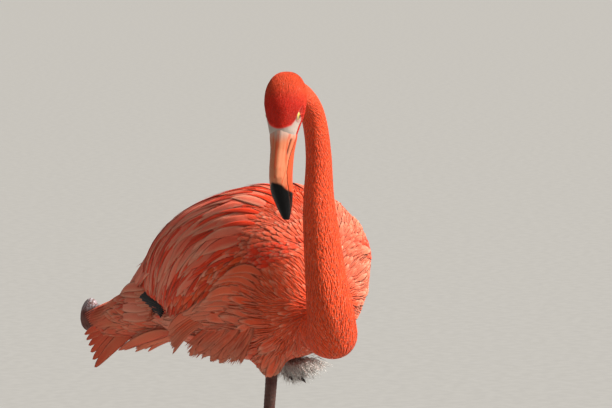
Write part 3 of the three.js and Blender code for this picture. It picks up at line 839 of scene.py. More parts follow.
def claw_look():
    """Dark horn, mottled brown."""
    look = Look("claw", Specular_IOR_Level=0.5, Coat_Weight=0.2, Coat_Roughness=0.3)
    tone = look.noise(400.0)
    look.colour(look.mix(look.ramp(tone, 0.3, 0.8), linear(0.10, 0.08, 0.07), linear(0.24, 0.18, 0.15)))
    look.rough(tone, 0.3, 0.5)
    return look.material


def eye_look():
    """A wet eye: a black pupil in a yellow iris with fine spokes."""
    look = Look("eye", Coat_Weight=1.0, Coat_Roughness=0.03, Specular_IOR_Level=0.6, Roughness=0.15)
    spokes = look.noise(1500.0)
    look.shaded(look.attribute("Tint"), spokes, 0.5, 0.75)
    look.bump(spokes, 0.00005, 0.3)
    return look.material


# ---- markings

HEAD_TINT = linear(0.97, 0.31, 0.13)
FOREHEAD_SHADE = linear(0.95, 0.10, 0.03)
NECK_TINT = linear(0.98, 0.32, 0.14)
BREAST_TINT = linear(0.98, 0.38, 0.21)
BREAST_PALE_AND_HIGHLIGHT = linear(0.97, 0.53, 0.41)
SHOULDER_SHADE = linear(0.90, 0.38, 0.26)
BACK_TINT = linear(0.97, 0.29, 0.10)
WING_TINT = linear(0.93, 0.38, 0.24)
PLUME_PALE = linear(0.95, 0.58, 0.47)
PLUME_RED = linear(0.96, 0.24, 0.07)
COVERT_RED = linear(0.96, 0.26, 0.08)
COVERT_GOLD = linear(0.97, 0.36, 0.15)
WRIST_RED = linear(0.97, 0.20, 0.06)
BLACK = linear(0.04, 0.035, 0.045)
FLANK_TINT = linear(0.92, 0.42, 0.28)
FLANK_PALE = linear(0.93, 0.50, 0.38)
FLANK_ORANGE = linear(0.95, 0.33, 0.14)
BELLY_TINT = linear(0.88, 0.36, 0.22)
TAIL_TINT = linear(0.91, 0.48, 0.34)
THIGH_TINT = linear(0.88, 0.52, 0.40)
BARE_TINT = linear(0.74, 0.67, 0.63)
EYELID_TINT = linear(0.60, 0.40, 0.37)
BILL_PALE = linear(0.76, 0.70, 0.66)
BILL_PINK = linear(0.80, 0.50, 0.36)
BILL_ORANGE = linear(0.82, 0.30, 0.15)
BILL_BLACK = linear(0.02, 0.02, 0.025)
SLIT_SHADE = (0.12, 0.03, 0.015)
LEG_TINT = linear(0.36, 0.23, 0.19)
JOINT_TINT = linear(0.46, 0.26, 0.22)


def sunlit_breast(forward, left, up):
    """1 on the breast's left side, which faces the key light: there the feathers are painted paler with broad
    paler tips, partly their own pale tips and partly a painted highlight.
    """
    return smoothstep(60, 105, forward) * smoothstep(-10, 40, left) * smoothstep(500, 540, up)


def markings(places, region):
    """The plumage's colour at each place, from the region shares there, with painted shade on the forehead
    and the shoulders and a painted highlight on the breast's left side.
    """
    forward, left, up = in_body(places).T
    tints = (BREAST_TINT, WING_TINT, TAIL_TINT, NECK_TINT, NECK_TINT, HEAD_TINT, THIGH_TINT)
    colour = sum(region[:, [k]] * tint for k, tint in enumerate(tints))
    body = region[:, TRUNK] + 0.4 * region[:, TAIL]
    winged = body + region[:, WING]
    # painted shade: the forehead, which faces down and away from the key light, is painted a deeper red than
    # the crown
    shaded_forehead = region[:, HEAD] * smoothstep(-12, 12, in_head(places)[:, 0])
    for tint, share in (
            (FLANK_TINT, body * smoothstep(120, 70, forward) * smoothstep(610, 585, up)),
            (BELLY_TINT, body * smoothstep(530, 506, up) * smoothstep(-60, 20, forward)),
            # painted shade: the upper front of the shoulders is painted a duskier pink, as if in the neck's
            # shadow
            (SHOULDER_SHADE, 0.6 * smoothstep(70, 105, forward) * smoothstep(615, 645, up) * winged),
            # painted highlight, partly the feathers' own paleness: the breast's sunlit left side is painted
            # paler
            (BREAST_PALE_AND_HIGHLIGHT, 0.75 * sunlit_breast(forward, left, up) * winged),
            (FOREHEAD_SHADE, 0.85 * shaded_forehead),
            (BACK_TINT, winged * smoothstep(672, 702, up))):
        colour = blend(colour, tint, share)
    return colour


def bare_face(places):
    """1 where the face is bare: round the bill's base and from there to the eyes."""
    ahead, left, crown = in_head(places).T
    base = smoothstep(34.2, 36.4, ahead + 0.034 * left ** 2)
    lore = smoothstep(13, 17, ahead) * smoothstep(8, 5, np.abs(crown - 1 - 0.15 * (ahead - EYE_AHEAD)))
    above_cheek = smoothstep(-3.0, -0.5, crown + 0.04 * (ahead - EYE_AHEAD))
    return np.maximum(base, lore * smoothstep(6, 11, np.abs(left))) * above_cheek * (ahead > 5)


# ---- the skin and what it carries

skin = raw_skin()
shares = under_coat(skin)
net, skin_places, shares = refined(skin, shares)
lie, skin_normals, way = feather_lie(skin.data, net, skin_places, shares)
surface = Surface(skin.data, skin_normals, lie)
skin_map = SkinMap(skin)
FORWARD, LEFTWARD, UPWARD = in_body(skin_places).T
AHEAD, ASIDE, CROWN = in_head(skin_places).T
bare = bare_face(skin_places) * (shares[:, HEAD] > 0.4)


def from_eye(wide=1.0, high=1.0):
    """How far along the head each vertex is from the eyes, on ellipses so wide and high."""
    return np.hypot((AHEAD - EYE_AHEAD) / wide, (CROWN - EYE_CROWN) / high)


def finish_skin():
    # painted shade: the skin is painted darker than the feathers over it, most under the body's deep coat and
    # less on the head
    tint = markings(skin_places, shares) * mix(0.62, 0.85, shares[:, HEAD])[:, None]
    eyelid = smoothstep(7.4, 6.0, from_eye(1.12, 0.94)) * (np.abs(ASIDE) > 8) * shares[:, HEAD]
    paint(skin.data, "Tint", blend(blend(tint, BARE_TINT, bare), EYELID_TINT, 0.85 * eyelid))
    skin.data.materials.append(skin_look())
    smooth_shaded(skin.data)
    skin.name = "skin"
    declared(skin, "plumage", *FLESH)


finish_skin()


# ---- families of feathers


class Roots:
    """The places that one family of feathers grows from."""

    def __init__(self, wanted, spacing, seed):
        spacing = np.broadcast_to(spacing, len(skin_places)) * MM
        self.where = surface.scattered(spacing, np.asarray(wanted, float), seed)
        self.rng = np.random.default_rng(seed + 1)
        self.gap = self.value(spacing) / MM
        places = self.value(skin_places)
        self.forward, self.left, self.up = in_body(places).T
        self.count = len(places)
        self.tint = markings(places, self.value(shares))

    def value(self, field):
        return surface.value(field, *self.where)

    def vary(self, share):
        """A factor near 1 for each feather."""
        return self.rng.uniform(1 - share, 1 + share, self.count)

    def tints(self, colour, share):
        """A colour that is a little lighter or darker on each feather."""
        return colour * self.vary(share)[:, None]


tuft_look = feather_look("tuft", barbs=4.0, slant=1.0, root_shade=0.12)
body_look = feather_look("body_feather", barbs=24.0, root_shade=0.28)
plume_look = feather_look("plume", barbs=60.0, slant=10.0, root_shade=0.2)
NARROW = dict(columns=3, outline=pointed)
TUFT = dict(look=tuft_look, **NARROW)
PLUME = dict(look=plume_look, outline=plume)


def grow(name, roots, length, half_width, rise, rows=7, yaw=0.1, sink=0.5, wave=0.0, thickness=0.2,
         look=body_look, **rest):
    """Lays feathers over the skin from their roots. Sizes are in millimetres."""
    rng, steps = roots.rng, steps_of(rows)
    length = length * roots.vary(0.15)
    lines = laid(surface, roots.where, length * MM, steps, rng.normal(0, yaw, roots.count))
    phase = rng.uniform(0, math.tau, roots.count)[:, None]
    ripple = np.sin(steps[None] * 6 + phase) * wave * steps[None]
    lift = np.asarray(rise * roots.vary(0.3)).reshape(-1, 1) * steps[None] ** 0.8 - sink + ripple
    coat(name, look, (*lines, steps), half_width * roots.vary(0.15), lift, thickness, roots.tint, rng, **rest)


def body_places(rows):
    return np.array([at(*row) for row in rows])


def fly(name, starts, bends, tips, facing_to, half_width, tints, rows=12, thickness=0.4, seed=1,
        look=plume_look, columns=7, outline=plume, **rest):
    """Feathers along free arcs, given as body places, that face a body direction each."""
    steps = steps_of(rows, 1.3)
    starts, bends, tips = (body_places(p)[:, None] for p in (starts, bends, tips))
    control, s = 2 * bends - (starts + tips) / 2, steps[None, :, None]
    centres = (1 - s) ** 2 * starts + 2 * s * (1 - s) * control + s ** 2 * tips
    normals = np.repeat(np.array([across(*f) for f in facing_to])[:, None], rows, 1)
    normals = flattened(normals, unit(np.gradient(centres, axis=1)))
    coat(name, look, (centres, normals, steps), half_width, 0.0, thickness, tints,
         np.random.default_rng(seed), columns, seed=seed, tone=0.05, outline=outline, **rest)


def on_skin(places, out):
    """The skin's nearest places to some body places, moved outwards by so many millimetres."""
    where, triangle, weights = surface.nearest(body_places(places))
    return in_body(where + surface.value(skin_normals, triangle, weights) * out * MM)


def bowed(starts, tips, *by):
    """Bends halfway between starts and tips, moved by so much."""
    return (starts + tips) / 2 + np.array(by)


ON_HEAD = shares[:, HEAD] > 0.5
ON_NECK = (shares[:, NECK] + 0.45 * shares[:, NECK_BASE] > shares[:, TRUNK] + 0.3) & ~ON_HEAD
ON_BODY = ~ON_NECK & (shares[:, HEAD] < 0.5) & (shares[:, THIGH] < 0.6)
ON_WING = shares[:, WING] > 0.5


CLEAR_AHEAD, CLEAR_BEHIND, CLEAR_ABOVE = 9.4, 6.4, 5.6  # how far tufts keep from the middles of the eyes


def head_feathers():
    """Tufts that keep clear of the eyelids, most of all ahead of them, where they would reach the eyes."""
    clear = np.where(AHEAD > EYE_AHEAD, CLEAR_AHEAD, CLEAR_BEHIND)
    feathered = (bare < 0.5) & (from_eye(clear, CLEAR_ABOVE) > 1)
    spacing = (1.15 - 0.2 * smoothstep(-5, 15, AHEAD)) * (1 - 0.32 * smoothstep(14, 9, from_eye()))
    roots = Roots(ON_HEAD & feathered, spacing, 11)
    grow("head_tufts", roots, roots.gap * 5.0, roots.gap * 0.50, 0.26, rows=4, yaw=0.12, sink=0.1, tone=0.06,
         marks=(0.12, 0, 0), thickness=0.07, **TUFT)


def neck_feathers():
    roots = Roots(ON_NECK, 1.5 + 1.2 * smoothstep(0.05, 0.40, way), 12)
    grow("neck_tufts", roots, roots.gap * 4.2, roots.gap * 0.54, roots.gap * 0.13, rows=5, yaw=0.15,
         sink=0.12, tone=0.08, marks=(0.45, 0, 0), wave=0.03, thickness=0.08, **TUFT)


def lifted(roots, least, most):
    """How far feathers rise, most in clumps on the breast's left side, and how much they are part of it."""
    sunny = sunlit_breast(roots.forward, roots.left, roots.up)
    wave = np.sin(roots.up * 0.26 + 1.3 * np.sin(roots.left * 0.07))
    wave = wave + np.sin(roots.left * 0.21 + roots.forward * 0.17)
    return roots.gap * (least + most * sunny * smoothstep(0.2, 1.6, wave)), sunny


def body_feathers():
    plain = ON_BODY & (~ON_WING | (FORWARD > 100) | (UPWARD > 690))
    front = smoothstep(50, 115, FORWARD)
    roots = Roots(plain, 8.0 - 2.6 * front, 13)
    rise, sunny = lifted(roots, 0.10, 0.30)
    mantle = smoothstep(90, 30, roots.forward) * smoothstep(650, 690, roots.up)
    # on the breast's sunlit left side the pale tips and edges are stronger: partly the feathers' own, partly
    # painted highlight
    grow("body_feathers", roots, roots.gap * mix(4.6, 7.5, mantle), roots.gap * 0.62, rise, yaw=0.12,
         tone=0.07, marks=blend((0.45, 0.2, 0.2), (0.95, 0.1, 0.5), sunny), ragged=0.3, camber=0.05)
    wisps = Roots(plain, 4.6 - 0.9 * front, 15)
    rise, sunny = lifted(wisps, 0.09, 0.34)
    # on the breast's sunlit left side the pale tips are stronger: partly the feathers' own, partly painted
    # highlight
    grow("body_wisps", wisps, wisps.gap * 5.5, wisps.gap * 0.36, rise, rows=6, sink=0.1, tone=0.07,
         marks=blend((0.45, 0.2, 0), (0.95, 0.1, 0), sunny), wave=0.05, thickness=0.1, camber=0.08,
         **NARROW)


COVERT_ROW = 20.0  # how much of a wing the coverts along its lower edge take, in millimetres


def wing_edge(forward):
    """The height of a folded wing's lower edge, which the flank feathers cover."""
    return np.interp(forward, (-130, -90, -62, -40, 20, 80, 130), (578, 570, 559, 553, 572, 595, 614))


ABOVE_EDGE = UPWARD - wing_edge(FORWARD)


def wing_sizes(roots):
    """Length and half width of a wing's plumes, which end above the row of coverts along its lower edge."""
    length = np.interp(roots.forward, (-190, -60, 40, 120), (80, 140, 105, 52))
    half = np.interp(roots.forward, (-190, -40, 40, 120), (5.5, 6.8, 7.2, 7.0))
    left_bare = mix(-80.0, COVERT_ROW, smoothstep(-125, -66, roots.forward))
    closing = np.interp(roots.forward, (-90, -40, 0, 60, 120), (0.95, 0.5, 0.4, 0.2, 0.1))
    room = (roots.up - wing_edge(roots.forward) - left_bare) / closing
    return np.minimum(length, np.maximum(room, 16.0)), half


def wing_feathers():
    """Long plumes, pale ones with narrow red ones over them, on a bed of short red feathers."""
    base = Roots(ON_WING & (FORWARD < 112), 8.5, 21)
    base.tint = blend(base.tint, PLUME_RED, 0.5)
    grow("wing_base", base, 38.0, 4.5, 0.8, tone=0.12, marks=(0.3, 0.2, 0.1), ragged=0.3, camber=0.06)
    above = ON_WING & ((ABOVE_EDGE > COVERT_ROW + 4) | (FORWARD < -80))
    pale = Roots(above & (FORWARD < 100) & (UPWARD < 702), 11.5, 22)
    length, half = wing_sizes(pale)
    pale.tint = blend(pale.tints(PLUME_PALE, 0.14), pale.tint, 0.45 * pale.rng.random(pale.count))
    grow("wing_plumes", pale, length, half, 2.3, rows=14, yaw=0.07, columns=7, tone=0.06, patch=WIDE_PATCH,
         marks=(0.25, 0.35, 0.15), paintwork=edged(PLUME_RED), ragged=0.25, camber=0.06, **PLUME)
    red = Roots(above & (FORWARD < 110) & (FORWARD > -175), 14.0, 23)
    length, half = wing_sizes(red)
    red.tint = red.tints(PLUME_RED, 0.18)
    grow("wing_streaks", red, length * 1.05, half * 0.5, 2.5, rows=13, yaw=0.08, sink=0.4, tone=0.05,
         patch=WIDE_PATCH, marks=(0.15, 0.1, 0.1), ragged=0.2, camber=0.08, **PLUME)


def covert_feathers():
    """The smaller feathers along the wing's lower edge and at its wrist."""
    edge = Roots(ON_WING & (ABOVE_EDGE < 34) & (FORWARD > -150) & (FORWARD < 104), 7.5, 31)
    gold = np.clip(smoothstep(-60, 90, edge.forward) + edge.rng.normal(0, 0.3, edge.count), 0, 1)
    edge.tint = edge.tints(blend(COVERT_RED, COVERT_GOLD, gold), 0.15)
    front = smoothstep(20, 100, edge.forward)
    grow("edge_coverts", edge, mix(46.0, 24.0, front), mix(4.8, 3.4, front), 3.0, rows=9, tone=0.06,
         marks=(0.3, 0.4, 0.1), ragged=0.25, camber=0.08, **PLUME)
    wrist = Roots(ON_WING & (FORWARD > 104) & (UPWARD < 662), 4.6, 32)
    red = 0.85 * smoothstep(654, 646, wrist.up)
    red = red * smoothstep(110, 118, wrist.forward) * smoothstep(142, 134, wrist.forward)
    wrist.tint = blend(wrist.tint, wrist.tints(WRIST_RED, 0.15), red)
    grow("wrist_coverts", wrist, 18.0, 2.8, 1.2, rows=6, tone=0.08, marks=(0.4, 0, 0.1), ragged=0.2,
         camber=0.1)


def flank_tint(roots, mottle):
    """Dusky pink at the rear and orange towards the breast, with some orange all over."""
    orange = 0.08 + 0.6 * smoothstep(30, 120, roots.forward) + 0.25 * smoothstep(545, 512, roots.up)
    pale = roots.tints(FLANK_PALE, 0.1)
    return blend(pale, FLANK_ORANGE, np.clip(orange + mottle * roots.rng.normal(0, 1, roots.count), 0, 1))


def flank_feathers():
    """Long soft feathers below the wings and over their lower edges, with looser barbs over them."""
    side = (shares[:, TRUNK] > 0.4) & (FORWARD < 118) & (FORWARD > -105) & (ABOVE_EDGE < 6) & (UPWARD > 508)
    side &= np.abs(LEFTWARD) > 25
    rim = (shares[:, TRUNK] > 0.3) & (np.abs(ABOVE_EDGE + 6) < 9) & (FORWARD < 125) & (FORWARD > -40)
    broad = dict(columns=7, rows=11, ragged=0.4, camber=0.05, patch=WIDE_PATCH, tone=0.05, **PLUME)
    roots = Roots(side, 10.0, 41)
    front = smoothstep(40, 110, roots.forward)
    roots.tint = flank_tint(roots, 0.15)
    grow("flank_plumes", roots, mix(74.0, 44.0, front), mix(8.5, 6.5, front), 1.6, yaw=0.08, sink=0.4,
         marks=(0.5, 0.15, 0.3), paintwork=edged(FLANK_ORANGE, 0.4, 0.5, 0.8), **broad)
    roots = Roots(rim, 7.5, 42)
    roots.tint = flank_tint(roots, 0.0)
    grow("flank_rim", roots, 60.0, 5.0, 4.2, yaw=0.05, sink=0.2, marks=(0.4, 0, 0.3), **broad)
    locks = Roots(side, 4.4, 43)
    locks.tint = flank_tint(locks, 0.3)
    front = smoothstep(40, 110, locks.forward)
    grow("flank_locks", locks, mix(52.0, 28.0, front), mix(2.4, 1.8, front), 1.3, rows=8, yaw=0.09,
         sink=0.0, tone=0.07, marks=(0.5, 0.1, 0), wave=0.12, thickness=0.12, camber=0.08, look=plume_look,
         **NARROW)


def flank_fringe():
    """Feathers that overhang the lower edge of each flank, and the pointed ones at its rear end."""
    rng = np.random.default_rng(45)
    rows = []
    for sign in (-1, 1):
        face = (0, sign, 0.05)
        for forward in np.linspace(-6, 92, 28):
            back, under = forward + rng.uniform(-9, 9), rng.uniform(0, 9)
            rows.append(((min(back + 52, 104), 96 * sign, 546 + under),
                         (min(back + 18, 88), 88 * sign, 526 + under),
                         (back - 20, (73 + 0.5 * under) * sign, 507 + under + 3 * math.sin(back * 0.09)),
                         face, rng.uniform(7.0, 10.5)))
        for forward in np.linspace(-12, 94, 120):
            back, under = forward + rng.uniform(-5, 5), rng.uniform(-6, 12)
            rows.append(((min(back + 46, 104), 96 * sign, 540 + under),
                         (min(back + 18, 88), 88.5 * sign, 525 + under),
                         (back - 20, (72 + 0.5 * under) * sign, 511 + under), face, 1.4))
        for share in np.linspace(0, 1, 8):
            tip = (-36 - 6 * share, mix(91, 94, share) * sign, 514 + 24 * share + rng.uniform(-2, 2))
            rows.append(((60 - 12 * share, 100 * sign, 550 + 18 * share),
                         (2 - 8 * share, 100 * sign, 541 + 16 * share), tip, face, 6.0))
    starts, bends, tips, faces, widths = zip(*rows)
    orange = np.clip(0.3 + rng.normal(0, 0.2, len(rows)), 0, 1)
    fly("flank_fringe", on_skin(starts, -2.0), on_skin(bends, 0.8), tips, faces, np.array(widths),
        blend(FLANK_PALE, FLANK_ORANGE, orange), marks=(0.3, 0.2, 0.1), thickness=0.3,
        paintwork=edged(FLANK_ORANGE, 0.4, 0.6), seed=45, ragged=0.06, camber=0.08, outline=rounded)


# The long feathers that hang from the rear of each folded wing, from front to rear.
DRAPED = np.array([
    [(-108, 34, 656), (-180, 29, 607), (-240, 14, 566)],
    [(-96, 60, 636), (-162, 49, 590), (-214, 29, 560)],
    [(-76, 78, 616), (-132, 68, 594), (-186, 45, 564)],
])


def draped_plumes():
    rng = np.random.default_rng(51)
    rows = []
    for sign in (-1, 1):
        for share in np.linspace(-0.15, 2.2, 17):
            first = min(max(int(share), 0), 1)
            path = mix(DRAPED[first], DRAPED[first + 1], share - first)
            path = path + rng.normal(0, 2.0, (3, 3)) * [[0.5], [0.5], [1]]
            path[:, 0] += rng.uniform(-8, 6)
            rows.append((*(path * [1, sign, 1]), (0.1, sign, 0.5)))
    widths = rng.uniform(6, 8.5, len(rows))
    tints = blend(PLUME_PALE, PLUME_RED, 0.3 * rng.random(len(rows)))
    fly("draped_plumes", *zip(*rows), widths, tints, rows=16, thickness=0.5, seed=51,
        marks=(0.3, 0.3, 0.2), paintwork=edged(PLUME_RED, 0.4, 0.6), ragged=0.3)


def tail_feathers():
    """Twelve broad feathers in a fan, with red tips."""
    side = np.linspace(-1, 1, 12)
    right, left = np.maximum(0, -side), np.maximum(0, side)
    root = columns_of(-185, -4 + 14 * side, 547 - 8 * right)
    tip = columns_of(-337 + 52 * right + 45 * left, -18 + 18 * side, 507 - 37 * right ** 1.3 + 3 * left)
    face = columns_of(0.35, 1.1 * side - 1.2, 1)
    fly("tail_feathers", root, bowed(root, tip, 0, 0, 7), tip, face, 11.0, TAIL_TINT, rows=16, columns=9,
        thickness=0.8, seed=61, marks=(0, 0.2, 0.1), paintwork=edged(COVERT_RED, 0.4, 1.0, tip=0.8),
        ragged=0.2, camber=0.06, outline=rounded)


def tail_cover():
    """The feathers over the fan's right side."""
    share = np.linspace(0, 1, 9)
    root = columns_of(-186, mix(-36, -6, share), mix(536, 566, share))
    tip = columns_of(mix(-284, -333, share ** 0.7), mix(-34, -20, share), mix(517, 529, share))
    face = columns_of(-0.1, mix(-1.0, -0.5, share), mix(0.2, 1, share))
    fly("tail_cover", root, bowed(root, tip, 0, -5, 6), tip, face, 9.0, TAIL_TINT, rows=14, columns=9,
        thickness=0.5, seed=63, marks=(0.1, 0.2, 0.1), paintwork=edged(COVERT_RED, 0.4, 0.9, tip=0.6),
        ragged=0.25, camber=0.06)


def tail_coverts():
    """The feathers from the vent to under the tail, and the shorter ones on the tail's root."""
    rng = np.random.default_rng(60)
    share = rng.uniform(0, 1, 11)
    root = columns_of(rng.uniform(-118, -96, 11), mix(-46, -8, share), 532)
    rearmost = mix(-238, -214, share) + rng.uniform(-5, 5, 11)
    tip = columns_of(rearmost, mix(-34, -8, share), rng.uniform(493, 500, 11))
    face, bend = columns_of(-0.1, mix(-1.0, -0.2, share), -0.6), bowed(root, tip, 0, -2, 2)
    fly("vent_feathers", on_skin(root, -1.0), bend, tip, face, 7.0, TAIL_TINT, rows=13, seed=64,
        marks=(0.2, 0.2, 0.1), paintwork=edged(COVERT_RED, 0.4, 0.8, tip=0.7), ragged=0.15, camber=0.08)
    roots = Roots((shares[:, TAIL] > 0.45) & (FORWARD > -285), 10.5, 62)
    roots.tint = blend(roots.tints(TAIL_TINT, 0.1), COVERT_RED, 0.35 * roots.rng.random(roots.count))
    grow("tail_coverts", roots, 56.0, 6.5, 2.4, rows=10, yaw=0.12, sink=0.4, tone=0.06, columns=7,
         marks=(0.4, 0.25, 0.3), paintwork=edged(COVERT_RED, 0.35, 0.5), ragged=0.35, camber=0.06, **PLUME)


def rump_feathers():
    """Narrow red feathers between the wings, over the root of the tail."""
    rng, count = np.random.default_rng(71), 34
    aside = rng.uniform(-26, 26, count)
    start = columns_of(rng.uniform(-172, -160, count), aside * 0.8, rng.uniform(585, 614, count))
    tip = columns_of(rng.uniform(-232, -208, count), aside * 1.05, start[:, 2] - rng.uniform(14, 30, count))
    face = columns_of(-0.4, aside / 16, 1)
    fly("rump_feathers", start, bowed(start, tip, 0, 0, 4), tip, face, 3.6, COVERT_RED, rows=8, columns=5,
        thickness=0.3, seed=71, look=body_look, outline=pointed, marks=(0.1, 0.2, 0), ragged=0.3, camber=0.15)


def side_coverts():
    """Pale feathers at each side of the tail, over most of the black wing tips."""
    rng = np.random.default_rng(72)
    rows = []
    for sign in (-1, 1):
        for share in np.linspace(0, 1, 18):
            back, up = rng.uniform(-8, 8), mix(583, 545, share)
            tip_up = up - mix(18, 8, share) + rng.uniform(-3, 3)
            rows.append(((-117 + back, sign * mix(66, 62, share), up),
                         (-172 + back, sign * mix(56, 54, share), up - 3),
                         (-240 + 14 * share + back, sign * mix(26, 36, share), tip_up),
                         (-0.3, sign, 0.5 - 0.5 * share)))
    tints = blend(TAIL_TINT, PLUME_PALE, rng.random(len(rows)))
    fly("side_coverts", *zip(*rows), 7.0, tints, rows=13, thickness=0.3, seed=72, marks=(0.45, 0.2, 0.3),
        paintwork=edged(COVERT_RED, 0.35, 0.4), ragged=0.3, camber=0.08)


def wing_tips():
    """The folded black primaries, one below the other, with only their ends free."""
    look = feather_look("primary", barbs=80.0, slant=12.0, root_shade=0.2, pale=linear(0.2, 0.2, 0.24), sheen=0.1)
    for side, sign in reversed(SIDES.items()):
        rows = [((-60 - 4 * step, sign * (82 - step), 562 - 2.5 * step),
                 (-140 + 4 * step, sign * (64 - step), 573 - 3 * step),
                 (-250 + 16 * step, sign * (24 + 5 * step), 560 - 4 * step),
                 (0.1, sign, 0.35)) for step in range(6)]
        name = f"primaries_{side}"
        fly(name, *zip(*rows), 6.0, BLACK, rows=18, thickness=0.7, seed=81, look=look, outline=pointed,
            marks=(0.2, 0, 0.3), camber=0.08, slot="black_feather")
        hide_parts(f"wing_tip_{side}")


def thigh_feathers():
    grow("thigh_feathers", Roots(shares[:, THIGH] >= 0.6, 3.6, 91), 18.0, 1.9, 1.0, rows=6, yaw=0.14,
         marks=(0.5, 0.1, 0.2), ragged=0.4, camber=0.08)


def down():
    """Whitish down under the belly, round the toes of the drawn-up foot."""
    rng, count = np.random.default_rng(95), 2000
    spread = np.clip(rng.normal(0, 0.45, (count, 2)), -1, 1)
    start = columns_of(30 + 30 * spread[:, 0], 33 + 22 * spread[:, 1], rng.uniform(502, 508, count))
    length = rng.uniform(10, 34, count) * (1 - 0.6 * np.abs(spread).max(axis=1))
    drift = [7 * spread[:, k] + rng.normal(mean, 5, count) for k, mean in enumerate((5, 1))]
    drift = columns_of(*drift, -length)
    bend = start + drift * [0.3, 0.3, 0.55] + rng.normal(0, 2.2, (count, 3))
    face, widths = rng.normal(0, 1, (count, 3)) + [0, 0, 0.1], rng.uniform(0.3, 0.7, count)
    fly("down", start, bend, start + drift, face, widths, linear(0.99, 0.96, 0.94), rows=6, thickness=0.12,
        seed=95, camber=0.3, **TUFT)


# ---- eyes, bill, legs and claws


SCUTE = 4.6  # how far apart the rows of scutes on a leg are, in millimetres


def hard_piece(name, nodes, look, slot, voxel, rounds, grow_by=0.0):
    """A smooth fine mesh in place of CAD nodes. Sizes are in millimetres."""
    bm = bmesh.new()
    for node in nodes:
        cad_copy(bm, node, grow_by * MM)
    piece = remeshed(bm, voxel * MM, name)
    mesh = piece.data
    set_coordinates(mesh, Net(mesh).smoothed(coordinates(mesh), rounds))
    smooth_shaded(mesh)
    mesh.materials.clear()
    mesh.materials.append(look)
    declared(piece, slot, *nodes)
    return piece


def eyeball(side, sign, look):
    """A ball with a bulging cornea, a black pupil and a yellow iris."""
    outward = unit(sign * HEAD_AXES[1] + 0.12 * HEAD_AXES[0])
    second = unit(np.cross(outward, HEAD_AXES[0]))
    axes = np.array([second, np.cross(outward, second), outward])
    bm = bmesh.new()
    bmesh.ops.create_uvsphere(bm, u_segments=44, v_segments=36, radius=1)
    mesh = mesh_of(bm, f"eyeball_{side}")
    ball = coordinates(mesh)
    angle = np.degrees(np.arccos(ball[:, 2].clip(-1, 1)))
    radius = EYE_RADIUS * (1 + 0.07 * smoothstep(42, 0, angle))
    set_coordinates(mesh, radius[:, None] * ball @ axes + np.array(EYE[side]))
    smooth_shaded(mesh)
    iris = blend(linear(0.78, 0.62, 0.20), linear(0.82, 0.77, 0.45), smoothstep(20, 36, angle))
    iris = blend(iris, linear(0.35, 0.12, 0.05), smoothstep(44, 50, angle))
    paint(mesh, "Tint", blend(iris, (0.004, 0.004, 0.004), smoothstep(20.5, 18.5, angle)))
    mesh.materials.append(look)
    declared(linked(mesh.name, mesh), "eye", f"eye_{side}")


def horn(piece, other, upper):
    """One half of the bill: pale at the base, pink and orange, and black past the bend, with painted shade
    along the gape and in the nostril slit.
    """
    places = coordinates(piece.data)
    gape_shade = smoothstep(1.5, 0.5, np.linalg.norm(Surface(other.data).nearest(places)[0] - places, axis=1) / MM)
    ahead, left, crown = in_head(places).T
    slit = smoothstep(1.5, 0.5, np.abs(crown - 2.5 - 0.02 * (ahead - 48))) * smoothstep(5, 7, np.abs(left))
    slit = slit * smoothstep(42, 45, ahead) * smoothstep(66, 58, ahead) * upper
    ridge = smoothstep(3.2, 0.8, np.abs(np.abs(left) - 6.5)) * (crown > 4) * upper
    ridge = ridge * smoothstep(40, 50, ahead) * smoothstep(92, 80, ahead)
    end = smoothstep(98, BILL_TIP, ahead)
    aside = (2.4 - 0.22 * left) * end - (slit * 1.3 + ridge * 0.35) * np.sign(left)
    moved = columns_of(1.8 * end ** 2 - 3.0 * smoothstep(41, 37.5, ahead), aside, 0)
    set_coordinates(piece.data, places + moved @ HEAD_AXES * MM)
    orange = 0.1 + 0.05 * smoothstep(2, -10, crown) * np.abs(left) if upper else np.full(len(left), 0.9)
    tint = blend(BILL_PINK, BILL_ORANGE, np.clip(orange, 0, 1))
    pale = smoothstep(54, 38, ahead + 0.5 * np.abs(left) + (0 if upper else 8))
    edge = BILL_BEND + 3 * smoothstep(9, -14, crown) + 0.7 * np.sin(left * 0.5 + crown * 0.3)
    # painted shade: the line where the two halves meet and the dented nostril slit are painted dark
    for colour, share in ((BILL_PALE, 0.9 * pale), (BILL_BLACK, smoothstep(-1.2, 1.2, ahead - edge)),
                          (SLIT_SHADE, 0.8 * gape_shade), (SLIT_SHADE, slit)):
        tint = blend(tint, colour, share)
    paint(piece.data, "Tint", tint)
    paint(piece.data, "Marks", columns_of(ahead, left + 30, crown + 60) / 120)


def leg_piece(name, nodes, look, voxel, along, joint, chalky=0.0):
    """Part of a leg with rows of scutes along it, redder at the joint."""
    mesh = hard_piece(name, nodes, look, "leg_skin", voxel, rounds=5, grow_by=0.25).data
    body = in_body(coordinates(mesh))
    scute = np.abs(np.sin(along(body) * math.pi / SCUTE)) ** 0.6
    raised = normals_of(mesh) * ((scute - 0.6) * 0.3 * MM)[:, None]
    set_coordinates(mesh, coordinates(mesh) + raised)
    forward, left, up = body.T
    tint = blend(LEG_TINT, JOINT_TINT, smoothstep(34, 8, np.linalg.norm(body - np.array(joint), axis=1)))
    chalk = chalky * smoothstep(528, 539, up) * smoothstep(-316, -340, forward)
    speckle = np.sin(forward * 1.3 + 2 * np.sin(up)) * np.sin(up * 1.1 + left * 0.9)
    paint(mesh, "Tint", blend(tint, linear(0.74, 0.73, 0.76), chalk * smoothstep(0.35, -0.25, speckle)))
    paint(mesh, "Marks", np.repeat(scute[:, None], 3, 1))


